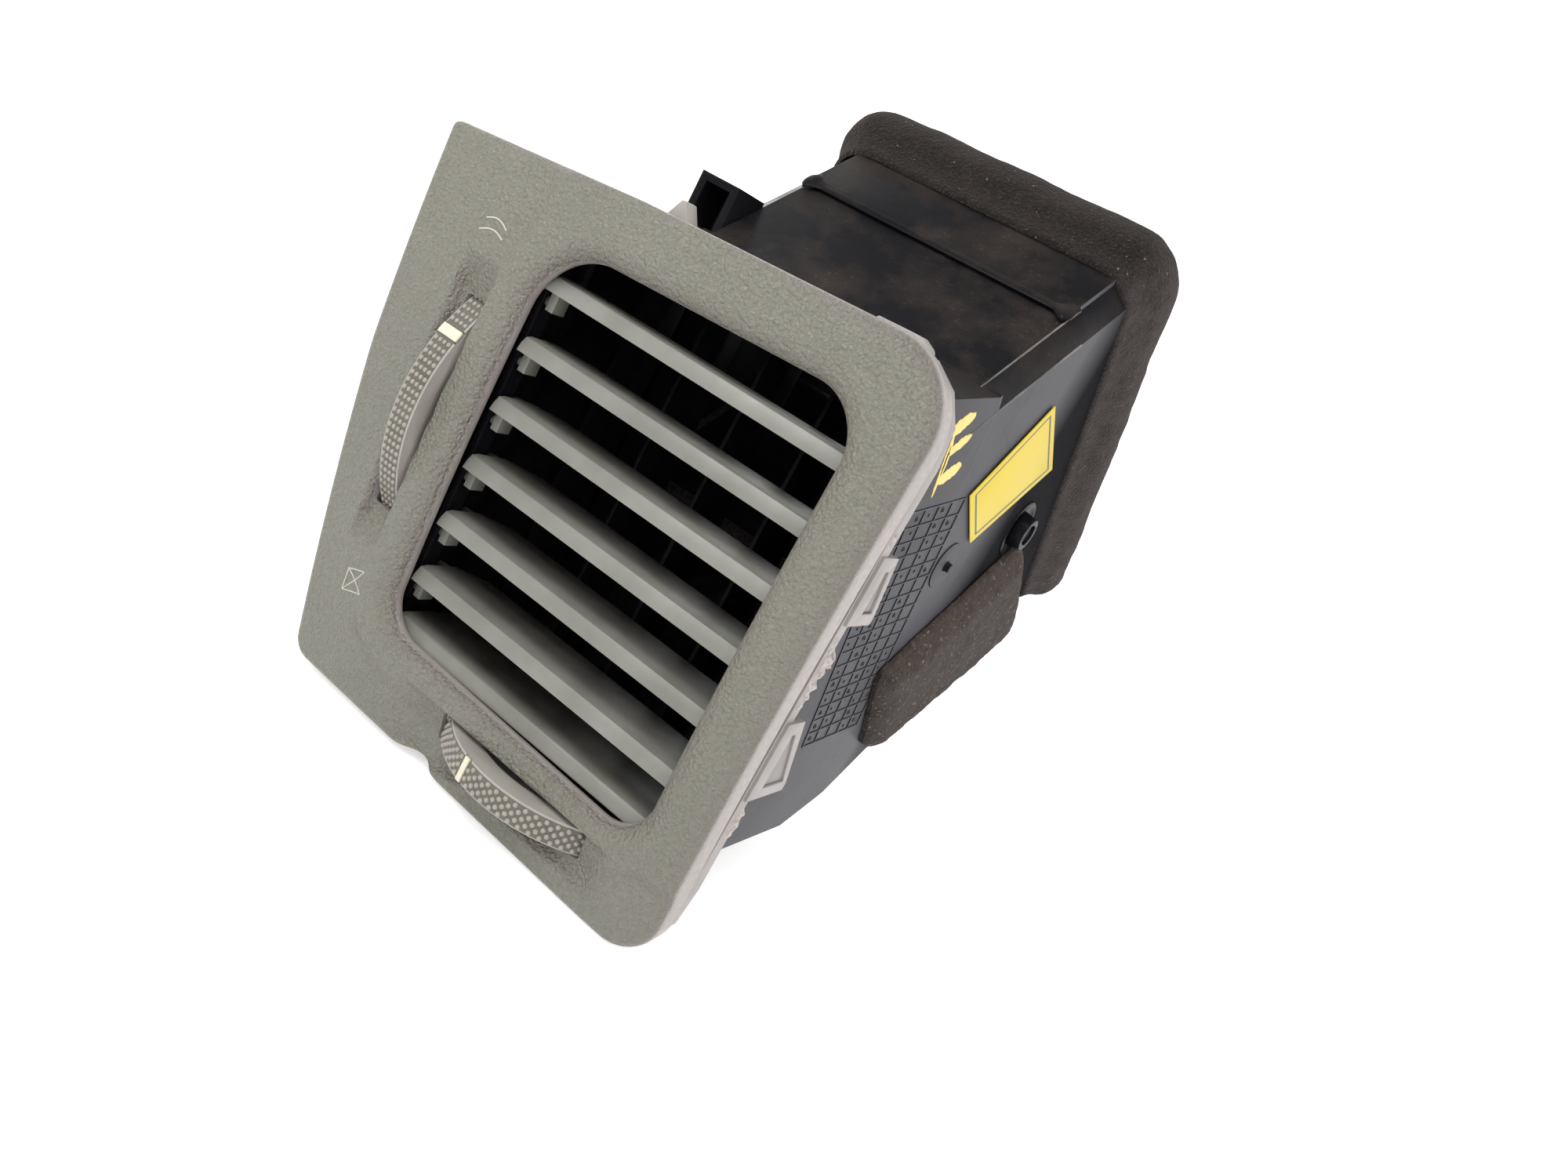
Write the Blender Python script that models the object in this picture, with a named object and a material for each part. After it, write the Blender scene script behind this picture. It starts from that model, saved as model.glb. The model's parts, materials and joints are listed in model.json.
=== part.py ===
"""Dashboard side air vent: bezel, louvres, direction vanes, damper and duct.

Frame: +X to the right as seen by the occupant, +Y into the dashboard, +Z up.  The origin is the
centre of the air opening, in the plane where the mounting frame seats on the dashboard.
Every size below is in millimetres and is turned into metres by the helpers.
"""
import math

import bmesh
import bpy
import numpy as np
from mathutils import Matrix, Vector

MM = 0.001
GAP = 0.3                       # air left between two moulded pieces that touch

# ---- face -------------------------------------------------------------------------------
FACE_Y = -10.2                  # front of the opening's rim at mid height
FACE_BOW = 0.0008               # the face curves back by this times height squared
FACE_MID_Z = -6.0               # height at which the face stands furthest forward
CROWN = 2.5                     # how far the bezel's face stands in front of its rim
SKIN = 2.2                      # bezel wall
RING_STEPS = 72

OPENING = [((-33.4, 38.6), 13.0), ((-32.4, -39.6), 8.0), ((34.8, -41.0), 8.0), ((33.8, 41.3), 10.0)]
OUTLINE = [((-66.8, 48.0), 2.5), ((-62.0, 5.0), 90.0), ((-50.8, -57.6), 4.5),
           ((45.7, -59.4), 9.0), ((45.7, 54.0), 13.5), ((-20.0, 51.4), 150.0)]

# ---- housing ----------------------------------------------------------------------------
WALL = 1.8
RISE = math.radians(37.0)       # the duct climbs at this angle behind the face
RIDGE = (47.5, 69.3)            # Y, Z of the step across the top wall; origin of the duct's frame
BOX_X = (-38.5, 40.0)           # outside of the front box
DUCT_X = (-34.0, 40.0)          # outside of the rising duct
DUCT_LOW = -88.0                # underside of the rising duct, measured down from its top wall
DUCT_END = 38.0                 # rear mouth, measured along the duct from the ridge
ROOF_X = (-28.0, 36.0)          # flat part of the top wall, between its sloped long edges
BOX_FRONT = -5.0
FLOOR_Z = -44.0
VANE_FLOOR_END = 38.0

# ---- louvres ----------------------------------------------------------------------------
LOUVRES = 6
LOUVRE_PITCH = 12.0
LOUVRE_LOW = 30.0               # lower front edge of the top louvre
SILL_BLADE_LOW = -40.2          # the fixed blade below the louvres
LOUVRE_X = (-32.6, 35.6)
LOUVRE_PIVOT = (1.0, 1.5)       # Y, and height above the lower front edge
LOUVRE_PIN_R = 1.1
LOUVRE_EYE = (-4.0, -2.2)       # link pin: Y, and height above the lower front edge
LINK_X = (-34.7, -33.5)

# ---- vanes ------------------------------------------------------------------------------
VANES = 5
VANE_PITCH = 15.2
VANE_FIRST = -31.1
VANE_Y = (17.7, 31.4)
VANE_PIVOT_Y = 24.5
VANE_Z = (-41.4, 41.0)
CRANK = 8.0                     # radius of every direction crank
CRANK_Z = (-46.0, -44.3)
BAR_Z = (-48.4, -46.4)
RAIL_Z = (41.4, 43.8)

# ---- thumbwheels ------------------------------------------------------------------------
D_WHEEL = (20.0, 0.4)           # damper wheel centre: Y, Z
D_WHEEL_R = 36.0
D_WHEEL_X = (-46.3, -41.2)
V_WHEEL = (7.5, 8.5)            # direction wheel centre: X, Y
V_WHEEL_R = 25.0
V_WHEEL_Z = (-50.8, -45.7)
RIM_DEPTH = 5.0
HUB_R = 4.0
DAMPER_MARK = 156.0             # index mark's direction round the wheel at rest, from +Y to +Z
DIRECTION_MARK = 256.0          # the same for the direction wheel, from +X to +Y
AXLE_R = 1.5
BORE_R = 1.9

# ---- damper -----------------------------------------------------------------------------
MODULE = 1.5
WHEEL_TEETH = 54                # teeth of a full circle; only a segment is cut
DAMPER_TEETH = 32
BACKLASH = 0.16
GEAR_X = (-44.8, -42.8)
DAMPER = (78.5, 27.6)           # shaft: Y, Z
SHAFT_R = 2.2
DOOR_FRONT = 44.0               # plate in front of the shaft
DOOR_REAR = 31.8                # plate behind the shaft
DOOR_T = 1.6
SEAL_W = 1.7

GRAIN_GREY = (0.36, 0.345, 0.31)
PALE_GREY = (0.46, 0.45, 0.43)
BLACK = (0.018, 0.018, 0.02)
FOAM = (0.05, 0.043, 0.04)


# ======== helpers ========================================================================
def clear_scene():
    for obj in list(bpy.data.objects):
        bpy.data.objects.remove(obj, do_unlink=True)


def collection(name):
    made = bpy.data.collections.new(name)
    bpy.context.scene.collection.children.link(made)
    return made


def material(name, color, roughness, metallic=0.0):
    mat = bpy.data.materials.get(name)
    if mat is None:
        mat = bpy.data.materials.new(name)
        mat.use_nodes = True
        shader = mat.node_tree.nodes["Principled BSDF"]
        shader.inputs["Base Color"].default_value = (*color, 1.0)
        shader.inputs["Roughness"].default_value = roughness
        shader.inputs["Metallic"].default_value = metallic
    return mat


def add_object(name, mesh, home, mat=None):
    obj = bpy.data.objects.new(name, mesh)
    home.objects.link(obj)
    if mat is not None:
        mesh.materials.clear()
        mesh.materials.append(mat)
    return obj


def mesh_from(bm, name):
    bmesh.ops.recalc_face_normals(bm, faces=bm.faces[:])
    mesh = bpy.data.meshes.new(name)
    bm.to_mesh(mesh)
    bm.free()
    return mesh


def box_mesh(low, high, bevel=0.0):
    bm = bmesh.new()
    bmesh.ops.create_cube(bm, size=1.0)
    low, high = Vector(low), Vector(high)
    for vert in bm.verts:
        part = vert.co + Vector((0.5, 0.5, 0.5))
        vert.co = Vector([low[i] + part[i] * (high[i] - low[i]) for i in range(3)]) * MM
    if bevel:
        bmesh.ops.bevel(bm, geom=bm.edges[:], offset=bevel * MM, segments=1, affect="EDGES")
    return mesh_from(bm, "box")


def prism_mesh(outline, low, high, axis):
    """Extrude a closed outline of 2D points between low and high along X or Z."""
    bm = bmesh.new()
    def place(a, b, depth):
        return Vector((depth, a, b) if axis == "X" else (a, b, depth)) * MM
    verts = [bm.verts.new(place(a, b, low)) for a, b in outline]
    face = bm.faces.new(verts)
    new = bmesh.ops.extrude_face_region(bm, geom=[face])["geom"]
    shift = place(0, 0, high) - place(0, 0, low)
    bmesh.ops.translate(bm, vec=shift, verts=[g for g in new if isinstance(g, bmesh.types.BMVert)])
    return mesh_from(bm, "prism")


def rod_mesh(start, end, radius, sides=20, radius_end=None):
    """A closed cylinder or cone between two points."""
    start, end = Vector(start) * MM, Vector(end) * MM
    bm = bmesh.new()
    bmesh.ops.create_cone(bm, cap_ends=True, segments=sides, radius1=radius * MM,
                          radius2=(radius if radius_end is None else radius_end) * MM,
                          depth=(end - start).length)
    turn = Vector((0, 0, 1)).rotation_difference(end - start).to_matrix().to_4x4()
    bmesh.ops.transform(bm, matrix=Matrix.Translation((start + end) / 2) @ turn, verts=bm.verts)
    return mesh_from(bm, "rod")


def combine(name, first, steps, home, mat):
    """Join (+) or cut (-) meshes in order and keep the evaluated result as one mesh."""
    obj = add_object(name, first, home)
    tools = []
    for sign, mesh in steps:
        tool = add_object(name + "_tool", mesh, bpy.data.collections["cutters"])
        tool.hide_render = True
        tool.display_type = "WIRE"
        tools.append(tool)
        mod = obj.modifiers.new("shape", "BOOLEAN")
        mod.operation = "UNION" if sign == "+" else "DIFFERENCE"
        mod.object = tool
    bpy.context.view_layer.update()
    graph = bpy.context.evaluated_depsgraph_get()
    mesh = bpy.data.meshes.new_from_object(obj.evaluated_get(graph))
    obj.modifiers.clear()
    obj.data = mesh
    for tool in tools:
        bpy.data.objects.remove(tool, do_unlink=True)
    mesh.name = name
    mesh.materials.clear()
    mesh.materials.append(mat)
    return obj


def set_origin(obj, point):
    """Move the object's origin to a point in millimetres, with its shape left in place."""
    point = Vector(point) * MM
    obj.data.transform(Matrix.Translation(-point))
    obj.location = point
    return obj


def duct_point(along, up):
    """Y, Z of a point given along the rising duct and up from its top wall, from the ridge."""
    c, s = math.cos(RISE), math.sin(RISE)
    return (RIDGE[0] + along * c - up * s, RIDGE[1] + along * s + up * c)


def fillet_loop(corners, arc_steps=8):
    """Round each corner of a closed outline with its own radius."""
    points = []
    count = len(corners)
    for i, (corner, radius) in enumerate(corners):
        here = np.array(corner)
        before = np.array(corners[i - 1][0]) - here
        after = np.array(corners[(i + 1) % count][0]) - here
        u, v = before / np.linalg.norm(before), after / np.linalg.norm(after)
        half = math.acos(np.clip(u @ v, -1, 1)) / 2
        reach = min(radius / math.tan(half), 0.45 * np.linalg.norm(before),
                    0.45 * np.linalg.norm(after))
        radius = reach * math.tan(half)
        centre = here + (u + v) / np.linalg.norm(u + v) * radius / math.sin(half)
        start = here + u * reach - centre
        sweep = math.pi - 2 * half
        stop = here + v * reach - centre
        turn = 1 if start[0] * stop[1] - start[1] * stop[0] > 0 else -1
        for k in range(arc_steps + 1):
            a = turn * sweep * k / arc_steps
            points.append(centre + np.array([start[0] * math.cos(a) - start[1] * math.sin(a),
                                             start[0] * math.sin(a) + start[1] * math.cos(a)]))
    return np.array(points)


def loop_reach(loop, angle):
    """Distance from the origin to a closed outline in one direction."""
    ray = np.array([math.cos(angle), math.sin(angle)])
    best = 0.0
    for a, b in zip(loop, np.roll(loop, -1, axis=0)):
        edge = b - a
        det = edge[0] * ray[1] - edge[1] * ray[0]
        if abs(det) < 1e-12:
            continue
        part = (a[1] * ray[0] - a[0] * ray[1]) / det
        if -1e-9 <= part <= 1 + 1e-9:
            best = max(best, (a + part * edge) @ ray)
    return best


def ring_mesh(profile, steps=RING_STEPS):
    """Loft a closed ring; profile(angle) gives the same number of X, Y, Z points at each angle."""
    bm = bmesh.new()
    rows = [[bm.verts.new(Vector(p) * MM) for p in profile(2 * math.pi * k / steps)]
            for k in range(steps)]
    for k in range(steps):
        one, two = rows[k], rows[(k + 1) % steps]
        for j in range(len(one)):
            i = (j + 1) % len(one)
            bm.faces.new((one[j], one[i], two[i], two[j]))
    return mesh_from(bm, "ring")


# ======== bezel and mounting frame =======================================================
def face_y(z):
    return FACE_Y + FACE_BOW * (z - FACE_MID_Z) ** 2


RIM_LOOP = fillet_loop(OPENING)
EDGE_LOOP = fillet_loop(OUTLINE)


def bezel_profile(angle):
    """Closed section of the bezel in one direction: front face out, inside face back."""
    rim, edge = loop_reach(RIM_LOOP, angle), loop_reach(EDGE_LOOP, angle)
    mid = (rim + edge) / 2
    front = [(rim, 0.5), (rim, -0.3), (rim + 1.0, -1.3), (rim + 3.6, -2.1), (mid, -CROWN),
             (edge - 3.2, -2.3), (edge - 1.0, -1.3), (edge, 0.4), (edge, 4.6)]
    back = [(edge - 2.0, 4.6), (edge - 2.2, 1.2), (edge - 4.0, SKIN - 2.2), (mid, SKIN - CROWN),
            (rim + 4.0, SKIN - 2.1), (rim + 1.7, 0.5)]
    points = []
    for reach, depth in front + back:
        x, z = reach * math.cos(angle), reach * math.sin(angle)
        y = min(face_y(z) + depth, -3.9)
        points.append((x, y, z))
    return points


def wheel_slots(margin, left_depth, low_depth):
    """Cutters for the two thumbwheel windows, opened out by a margin, clear to a depth in Y."""
    def half(radius, centre, y):
        return math.sqrt(radius ** 2 - (y - centre) ** 2)
    tall = half(D_WHEEL_R, D_WHEEL[0], left_depth) + margin
    wide = half(V_WHEEL_R, V_WHEEL[1], low_depth) + margin
    left = box_mesh((D_WHEEL_X[0] - 0.5 - margin, -30, D_WHEEL[1] - tall),
                    (D_WHEEL_X[1] + 0.5 + margin, 2, D_WHEEL[1] + tall))
    low = box_mesh((V_WHEEL[0] - wide, -30, V_WHEEL_Z[0] - 0.4 - margin),
                   (V_WHEEL[0] + wide, 2, V_WHEEL_Z[1] + 0.4 + margin))
    return [("-", left), ("-", low)]


def make_bezel(home):
    mat = material("grained_bezel", GRAIN_GREY, 0.55)
    obj = combine("bezel", ring_mesh(bezel_profile), wheel_slots(0.4, -7.6, -5.0), home, mat)
    return obj


def frame_profile(angle):
    """Section of the mounting frame: web against the bezel, and the skirt that seats at Y = 0."""
    edge = loop_reach(EDGE_LOOP, angle)
    box = fillet_loop([((BOX_X[0], 47.0), 1.0), ((BOX_X[0], FLOOR_Z), 1.0),
                       ((BOX_X[1], FLOOR_Z), 1.0), ((BOX_X[1], 47.0), 1.0)], 2)
    inner = min(loop_reach(box, angle), edge - 4.5)
    section = [(edge - 0.8, -3.5), (edge - 0.8, 0.0), (edge - 3.4, 0.0), (edge - 3.4, -1.7),
               (inner, -1.7), (inner, -3.5)]
    return [(r * math.cos(angle), y, r * math.sin(angle)) for r, y in section]


def clip_tab(low_z, high_z, short, long):
    """A barbed tab on the frame's right side, deeper at its lower end, with a window."""
    x = (43.2, 45.6)
    outline = [(-2.6, low_z), (long, low_z), (long, low_z + 1.5), (short, high_z), (-2.6, high_z)]
    body = prism_mesh(outline, *x, "X")
    hole = [(1.2, low_z + 2.2), (long - 1.8, low_z + 2.2), (short - 0.9, high_z - 2.6),
            (1.2, high_z - 2.6)]
    window = prism_mesh(hole, x[0] - 2, x[1] + 2, "X")
    return [("+", body), ("-", window)]


def make_mounting_frame(home):
    mat = material("pale_frame", PALE_GREY, 0.6)
    steps = [("-", box_mesh((BOX_X[0] - 0.5, -9, FLOOR_Z - 0.5), (BOX_X[1] + 0.5, 9, 47.6)))]
    steps += wheel_slots(1.2, -1.5, -1.5)
    steps += clip_tab(9.0, 21.8, 3.4, 7.0) + clip_tab(-25.6, -10.0, 3.4, 10.6)
    steps += [("+", box_mesh((26.0, -2.6, 49.2), (35.6, 4.0, 51.4))),
              ("+", box_mesh((-17.6, -2.6, 49.0), (-13.8, 3.4, 51.0)))]
    return combine("mounting_frame", ring_mesh(frame_profile), steps, home, mat)


# ======== housing ========================================================================
def housing_outline(inset):
    """Side view of the duct as Y, Z points, inset by a wall; open ends run past the mouths."""
    over = 3.0 if inset else 0.0
    end = DUCT_END + over
    front = BOX_FRONT - over
    return [(front, FLOOR_Z + inset), (VANE_FLOOR_END, FLOOR_Z + inset),
            (52.0 - inset * 0.3, -38.6 + inset),
            duct_point(-38.0, DUCT_LOW + inset), duct_point(end, DUCT_LOW + inset),
            duct_point(end, 1.2 - inset), duct_point(1.6, 1.2 - inset), duct_point(0.0, -inset),
            duct_point(-30.0, -inset), (front, 46.2 - inset)]


def roof_chamfers(inset):
    """Meshes that slope the two long top edges of the rising duct, moved in by a wall."""
    def wedge(x_edge, out, width, drop):
        length = math.hypot(width, drop)
        section = [(x_edge, 3.0), (x_edge + out * 12.0, 3.0),
                   (x_edge + out * 12.0, -drop - 12.0 * drop / width),
                   (x_edge + out * width, -drop), (x_edge, 0.0)]
        section = [(x - out * inset * drop / length, up - inset * width / length) for x, up in section]
        bm = bmesh.new()
        rows = []
        for along in (-29.0, DUCT_END + 4.0):
            rows.append([bm.verts.new(Vector((x, *duct_point(along, up))) * MM) for x, up in section])
        bm.faces.new(rows[0])
        bm.faces.new(rows[1])
        for j in range(len(section)):
            i = (j + 1) % len(section)
            bm.faces.new((rows[0][j], rows[0][i], rows[1][i], rows[1][j]))
        return mesh_from(bm, "wedge")
    return [("-", wedge(ROOF_X[1], 1, 4.0, 3.6)), ("-", wedge(ROOF_X[0], -1, 6.0, 4.6))]


def duct_cavity():
    """The rising duct's inside, with its long top edges sloped like the outside."""
    box = prism_mesh(housing_outline(WALL), DUCT_X[0] + WALL, DUCT_X[1] - WALL, "X")
    home = bpy.data.collections["cutters"]
    obj = combine("cavity", box, roof_chamfers(WALL), home, material("black_housing", BLACK, 0.35))
    mesh = obj.data
    bpy.data.objects.remove(obj, do_unlink=True)
    return mesh


def make_housing(home):
    mat = material("black_housing", BLACK, 0.35)
    duct = prism_mesh(housing_outline(0.0), *DUCT_X, "X")
    side = 44.0
    box_outer = [(BOX_FRONT, FLOOR_Z), (VANE_FLOOR_END, FLOOR_Z), (side, -41.4), (side, 46.2),
                 (BOX_FRONT, 46.2)]
    box_inner = [(BOX_FRONT - 3, FLOOR_Z + WALL), (VANE_FLOOR_END, FLOOR_Z + WALL),
                 (side - WALL, -39.2), (side - WALL, 44.4), (BOX_FRONT - 3, 44.4)]
    steps = [("+", prism_mesh(box_outer, BOX_X[0], 0.0, "X"))]
    steps += roof_chamfers(0.0)
    steps += [("+", box_mesh((-38.4, 27.0, 45.0), (-28.6, 37.0, 61.6))),
              ("-", box_mesh((-36.6, 24.0, 50.0), (-30.4, 35.4, 60.0))),
              ("-", duct_cavity()),
              ("-", prism_mesh(box_inner, BOX_X[0] + WALL, 1.0, "X"))]
    for k in range(VANES):
        x = VANE_FIRST + k * VANE_PITCH
        foot = (x, VANE_PIVOT_Y, FLOOR_Z - 2)
        steps.append(("-", rod_mesh(foot, (x, VANE_PIVOT_Y, FLOOR_Z + 4), 2.0)))
    steps.append(("-", rod_mesh((-60, *DAMPER), (60, *DAMPER), 3.4, 24)))
    # rib inside the roof that the closed damper seals against
    rib = [duct_point(-4.0, -1.0), duct_point(3.0, -0.4), duct_point(3.0, -4.2), duct_point(-0.4, -4.2)]
    steps.append(("+", prism_mesh(rib, DUCT_X[0] + 6.4, DUCT_X[1] - 4.4, "X")))
    return combine("duct_housing", duct, steps, home, mat)


def make_pivot_strips(home):
    """Strips that carry the louvre pins, one on each side of the front box."""
    mat = material("strip_black", BLACK, 0.5)
    for side, x0, x1 in (("left", -36.4, -34.95), ("right", 36.2, 37.9)):
        steps = []
        for k in range(LOUVRES):
            z = LOUVRE_LOW - k * LOUVRE_PITCH + LOUVRE_PIVOT[1]
            steps.append(("-", rod_mesh((x0 - 2, LOUVRE_PIVOT[0], z), (x1 + 2, LOUVRE_PIVOT[0], z),
                                        LOUVRE_PIN_R + GAP + 0.05, 16)))
        body = box_mesh((x0, -3.4, -44.0 + WALL + 0.3), (x1, 5.4, 43.6))
        combine("louvre_pivot_strip_" + side, body, steps, home, mat)


# ======== louvres ========================================================================
BLADE_SECTION = [(-8.0, 0.0), (-7.6, 1.5), (-6.9, 2.74), (-5.6, 3.0), (1.0, 2.8), (8.2, 1.9),
                 (8.2, 0.9), (1.0, 0.2)]


def louvre_mesh():
    """One louvre in place at lower front edge Z = 0, with pins, link arm and link pin."""
    body = prism_mesh(BLADE_SECTION, *LOUVRE_X, "X")
    outside = LOUVRE_X[0] - 1
    corner = prism_mesh([(outside, 1.5), (LOUVRE_X[0] + 5.5, 9.5), (outside, 9.5)], -2, 6, "Z")
    y, z = LOUVRE_PIVOT
    ey, ez = LOUVRE_EYE
    arm = box_mesh((LOUVRE_X[0] + 0.1, ey - 1.7, ez - 1.4), (LOUVRE_X[0] + 1.9, ey + 1.7, 1.4))
    steps = [("-", corner),
             ("+", rod_mesh((-36.2, y, z), (LOUVRE_X[0] + 3, y, z), LOUVRE_PIN_R, 16)),
             ("+", rod_mesh((LOUVRE_X[1] - 3, y, z), (37.6, y, z), LOUVRE_PIN_R, 16)),
             ("+", arm),
             ("+", rod_mesh((LINK_X[0] - 0.2, ey, ez), (LOUVRE_X[0] + 1.0, ey, ez), 1.0, 12))]
    return body, steps


def make_louvres(home):
    mat = material("louvre_grey", GRAIN_GREY, 0.45)
    body, steps = louvre_mesh()
    master = combine("louvre_1", body, steps, home, mat)
    set_origin(master, (0, *LOUVRE_PIVOT))
    for k in range(LOUVRES):
        obj = master if k == 0 else add_object("louvre_%d" % (k + 1), master.data, home)
        obj.location = Vector((0, LOUVRE_PIVOT[0], LOUVRE_LOW - k * LOUVRE_PITCH + LOUVRE_PIVOT[1])) * MM


def make_sill_blade(home):
    """The fixed blade below the louvres, which stands on two feet on the floor."""
    section = [(y, z + SILL_BLADE_LOW) for y, z in BLADE_SECTION]
    low, high = FLOOR_Z + WALL + GAP, SILL_BLADE_LOW + 1.0
    feet = [("+", box_mesh((x - 1.5, -3.0, low), (x + 1.5, 5.0, high))) for x in (-24.0, 26.0)]
    combine("sill_blade", prism_mesh(section, *LOUVRE_X, "X"), feet, home,
            material("louvre_grey", GRAIN_GREY, 0.45))


def make_louvre_link(home):
    mat = material("link_black", BLACK, 0.5)
    ey, ez = LOUVRE_EYE
    top = LOUVRE_LOW + ez
    low = top - (LOUVRES - 1) * LOUVRE_PITCH
    steps = []
    for k in range(LOUVRES):
        z = top - k * LOUVRE_PITCH
        steps.append(("-", rod_mesh((LINK_X[0] - 1, ey, z), (LINK_X[1] + 1, ey, z), 1.35, 12)))
    body = box_mesh((LINK_X[0], ey - 1.9, low - 2.6), (LINK_X[1], ey + 1.9, top + 2.6))
    obj = combine("louvre_link_bar", body, steps, home, mat)
    middle = top - (LOUVRES // 2) * LOUVRE_PITCH
    set_origin(obj, (0, ey, middle))


# ======== direction vanes ================================================================
def make_vanes(home):
    mat = material("vane_black", BLACK, 0.45)
    y = VANE_PIVOT_Y
    blade = prism_mesh([(-0.4, VANE_Y[0]), (0.4, VANE_Y[0]), (0.8, y), (0.4, VANE_Y[1]),
                        (-0.4, VANE_Y[1]), (-0.8, y)], *VANE_Z, "Z")
    steps = [("+", rod_mesh((0, y, VANE_Z[1] - 2), (0, y, RAIL_Z[1] - 0.1), 1.2, 16)),
             ("+", rod_mesh((0, y, CRANK_Z[0]), (0, y, VANE_Z[0] + 2), 1.6, 16)),
             ("+", box_mesh((-1.9, y - 1.9, CRANK_Z[0]), (1.9, y + CRANK + 1.9, CRANK_Z[1]), 0.5)),
             ("+", rod_mesh((0, y + CRANK, BAR_Z[0] - 0.2), (0, y + CRANK, CRANK_Z[0] + 0.8), 1.3, 16))]
    master = combine("vane_1", blade, steps, home, mat)
    set_origin(master, (0, y, 0))
    for k in range(VANES):
        obj = master if k == 0 else add_object("vane_%d" % (k + 1), master.data, home)
        obj.location = Vector((VANE_FIRST + k * VANE_PITCH, y, 0)) * MM


def make_vane_rail(home):
    """Cross rail under the roof that holds the vanes' upper pins."""
    mat = material("strip_black", BLACK, 0.5)
    steps = []
    for k in range(VANES):
        x = VANE_FIRST + k * VANE_PITCH
        foot = (x, VANE_PIVOT_Y, RAIL_Z[0] - 1)
        steps.append(("-", rod_mesh(foot, (x, VANE_PIVOT_Y, RAIL_Z[1] + 1), 1.55, 16)))
    body = box_mesh((-36.4, VANE_PIVOT_Y - 3.2, RAIL_Z[0]), (37.9, VANE_PIVOT_Y + 3.2, RAIL_Z[1]))
    combine("vane_top_rail", body, steps, home, mat)


def make_direction_bar(home):
    """Bar under the floor that ties the vanes' cranks to the direction wheel's crank."""
    mat = material("link_black", BLACK, 0.5)
    y = VANE_PIVOT_Y + CRANK
    last = VANE_FIRST + (VANES - 1) * VANE_PITCH
    pin = (V_WHEEL[0], V_WHEEL[1] + CRANK)
    steps = [("+", box_mesh((pin[0] - 2.8, pin[1] - 3.0, BAR_Z[0]), (pin[0] + 2.8, y, BAR_Z[1])))]
    holes = [(VANE_FIRST + k * VANE_PITCH, y) for k in range(VANES)] + [pin]
    for x, hy in holes:
        steps.append(("-", rod_mesh((x, hy, BAR_Z[0] - 1), (x, hy, BAR_Z[1] + 1), 1.7, 16)))
    body = box_mesh((VANE_FIRST - 3.2, y - 3.0, BAR_Z[0]), (last + 3.2, y + 3.0, BAR_Z[1]))
    obj = combine("direction_link_bar", body, steps, home, mat)
    set_origin(obj, (*pin, 0))


# ======== thumbwheels and gears ==========================================================
def arc_points(radius, start, stop, steps):
    angles = np.radians(np.linspace(start, stop, steps))
    return [(radius * math.cos(a), radius * math.sin(a)) for a in angles]


def involute_tooth(teeth):
    """Half tooth widths, as angles, at four radii from root to tip of a 20 degree involute."""
    pitch_r = MODULE * teeth / 2
    base = pitch_r * math.cos(math.radians(20))
    radii = [pitch_r + part * MODULE for part in (-1.2, -0.5, 0.25, 0.95)]
    def inv(radius):
        pressure = math.acos(min(1.0, base / radius))
        return math.tan(pressure) - pressure
    at_pitch = math.pi / (2 * teeth) - BACKLASH / 2 / pitch_r
    return [(r, at_pitch + inv(pitch_r) - inv(max(r, base))) for r in radii]


def gear_segment(teeth, centre_angle, count):
    """Outline points of a run of teeth, counterclockwise, symmetric about centre_angle."""
    half = involute_tooth(teeth)
    points = []
    for k in range(count):
        mid = math.radians(centre_angle) + (k - (count - 1) / 2) * 2 * math.pi / teeth
        flank = [(r, mid - h) for r, h in half] + [(r, mid + h) for r, h in reversed(half)]
        points += [(r * math.cos(a), r * math.sin(a)) for r, a in flank]
    return points


LINE_ANGLE = math.degrees(math.atan2(DAMPER[1] - D_WHEEL[1], DAMPER[0] - D_WHEEL[0]))


def shifted(points, centre):
    return [(a + centre[0], b + centre[1]) for a, b in points]


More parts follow.
